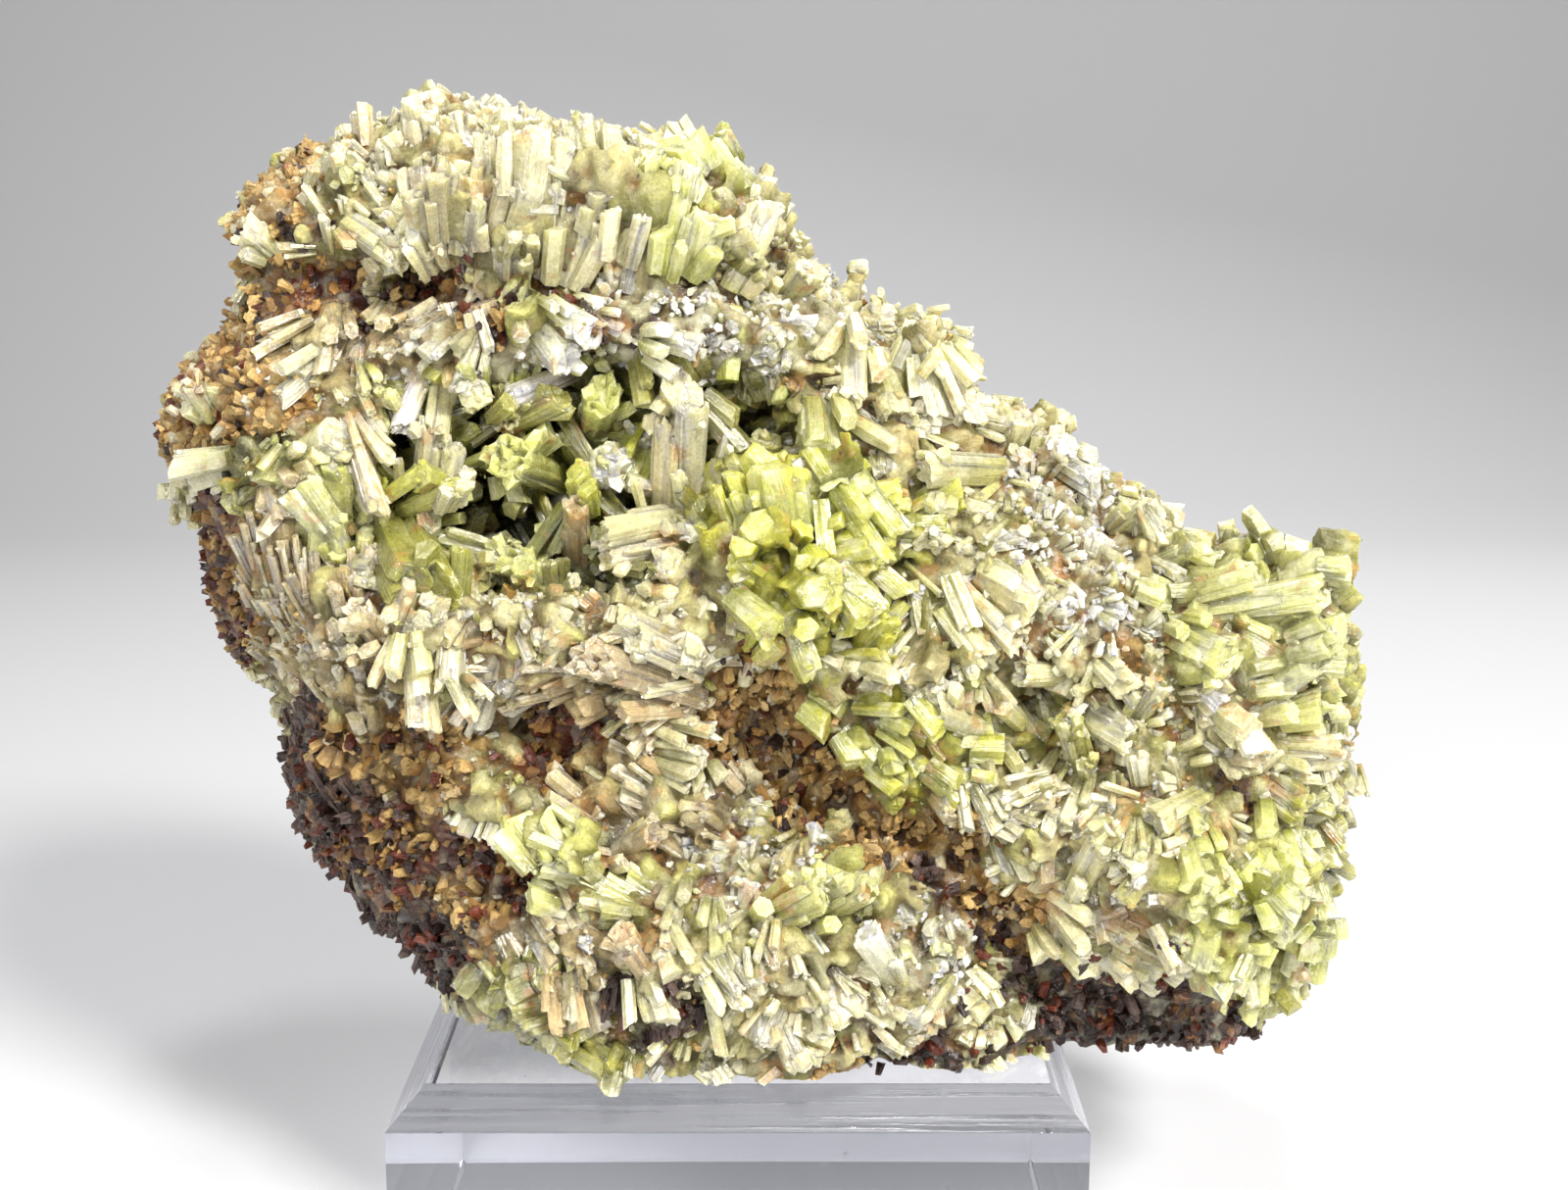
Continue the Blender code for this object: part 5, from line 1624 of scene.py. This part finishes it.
class PYROMORPHITE_OT_block(Operator):
    """Finish the clear block"""

    bl_idname = "pyromorphite.block"
    bl_label = "Acrylic block"

    def execute(self, context):
        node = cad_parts[BLOCK]
        node.data.materials.clear()
        node.data.materials.append(acrylic_material())
        node.visible_shadow = False
        return {"FINISHED"}


def add_light(name, light):
    lamp = bpy.data.lights.new(name, "AREA")
    lamp.shape = "RECTANGLE"
    lamp.size, lamp.size_y = light.size
    lamp.energy = light.power
    lamp.color = light.colour
    obj = linked(name, lamp)
    obj.location = light.place
    obj.rotation_euler = (Vector(LIT_PLACE) - Vector(light.place)).to_track_quat("-Z", "Y").to_euler()


def add_floor(half):
    """A floor that curves up into a wall at its back."""
    curve = []
    for step in range(1, COVE_STEPS + 1):
        angle = math.pi / 2 * step / COVE_STEPS
        curve.append((COVE_Y + COVE_RADIUS * math.sin(angle), COVE_RADIUS * (1 - math.cos(angle))))
    bm = bmesh.new()
    outline = [(-half, 0), (COVE_Y, 0), *curve, (COVE_Y + COVE_RADIUS, half)]
    verts = [bm.verts.new((-half, y, z)) for y, z in outline]
    edges = [bm.edges.new(pair) for pair in zip(verts, verts[1:])]
    pushed = bmesh.ops.extrude_edge_only(bm, edges=edges)["geom"]
    moved = [item for item in pushed if isinstance(item, bmesh.types.BMVert)]
    bmesh.ops.translate(bm, verts=moved, vec=(2 * half, 0, 0))
    bmesh.ops.recalc_face_normals(bm, faces=bm.faces)
    mesh = mesh_from(bm, "floor")
    mesh.shade_smooth()
    pale = new_material("pale_floor", {"Base Color": (0.55, 0.55, 0.56, 1), "Roughness": 0.8})
    mesh.materials.append(pale)
    linked("floor", mesh)


def add_world():
    world = bpy.data.worlds.new("studio")
    world.use_nodes = True
    background = world.node_tree.nodes["Background"]
    background.inputs["Color"].default_value = (1, 1, 1, 1)
    background.inputs["Strength"].default_value = WORLD_LIGHT
    bpy.context.scene.world = world


def add_camera(lens, pitch):
    camera = bpy.data.cameras.new("camera")
    camera.lens = lens
    camera.sensor_width = 36.0
    camera.clip_start = 0.01
    obj = linked("camera", camera)
    obj.location = EYE * MM
    obj.rotation_euler = (math.pi / 2 - pitch, 0, 0)
    bpy.context.scene.camera = obj


class PYROMORPHITE_OT_stage(Operator):
    """Set up the floor, the lights and the camera"""

    bl_idname = "pyromorphite.stage"
    bl_label = "Stage"

    def execute(self, context):
        stage = context.scene.stage_sizes
        add_floor(stage.floor)
        add_world()
        context.scene.view_settings.view_transform = "Standard"
        for name, light in LIGHTS.items():
            add_light(name, light)
        add_camera(stage.lens, stage.pitch)
        return {"FINISHED"}


OPERATORS = (
    PYROMORPHITE_OT_rock,
    PYROMORPHITE_OT_face_crystals,
    PYROMORPHITE_OT_grains,
    PYROMORPHITE_OT_large_crystals,
    PYROMORPHITE_OT_back_crystals,
    PYROMORPHITE_OT_vug,
    PYROMORPHITE_OT_block,
    PYROMORPHITE_OT_stage,
)


class PYROMORPHITE_PT_panel(Panel):
    """Shows the specimen's settings and the buttons that build it"""

    bl_label = "Pyromorphite"
    bl_space_type = "VIEW_3D"
    bl_region_type = "UI"
    bl_category = "Pyromorphite"

    def draw(self, context):
        scene = context.scene
        for group in (scene.specimen_sizes, scene.specimen_colours, scene.stage_sizes):
            for name in group.__annotations__:
                self.layout.prop(group, name)
        for operator in OPERATORS:
            self.layout.operator(operator.bl_idname)


CLASSES = (SpecimenSizes, SpecimenColours, StageSizes, *OPERATORS, PYROMORPHITE_PT_panel)


def register():
    for each in CLASSES:
        bpy.utils.register_class(each)
    bpy.types.Scene.specimen_sizes = PointerProperty(type=SpecimenSizes)
    bpy.types.Scene.specimen_colours = PointerProperty(type=SpecimenColours)
    bpy.types.Scene.stage_sizes = PointerProperty(type=StageSizes)


def unregister():
    del bpy.types.Scene.stage_sizes
    del bpy.types.Scene.specimen_colours
    del bpy.types.Scene.specimen_sizes
    for each in reversed(CLASSES):
        bpy.utils.unregister_class(each)


def main():
    register()
    bpy.ops.pyromorphite.rock()
    bpy.ops.pyromorphite.face_crystals()
    bpy.ops.pyromorphite.grains()
    bpy.ops.pyromorphite.large_crystals()
    bpy.ops.pyromorphite.back_crystals()
    bpy.ops.pyromorphite.vug()
    bpy.ops.pyromorphite.block()
    bpy.ops.pyromorphite.stage()


if __name__ == "__main__":
    main()
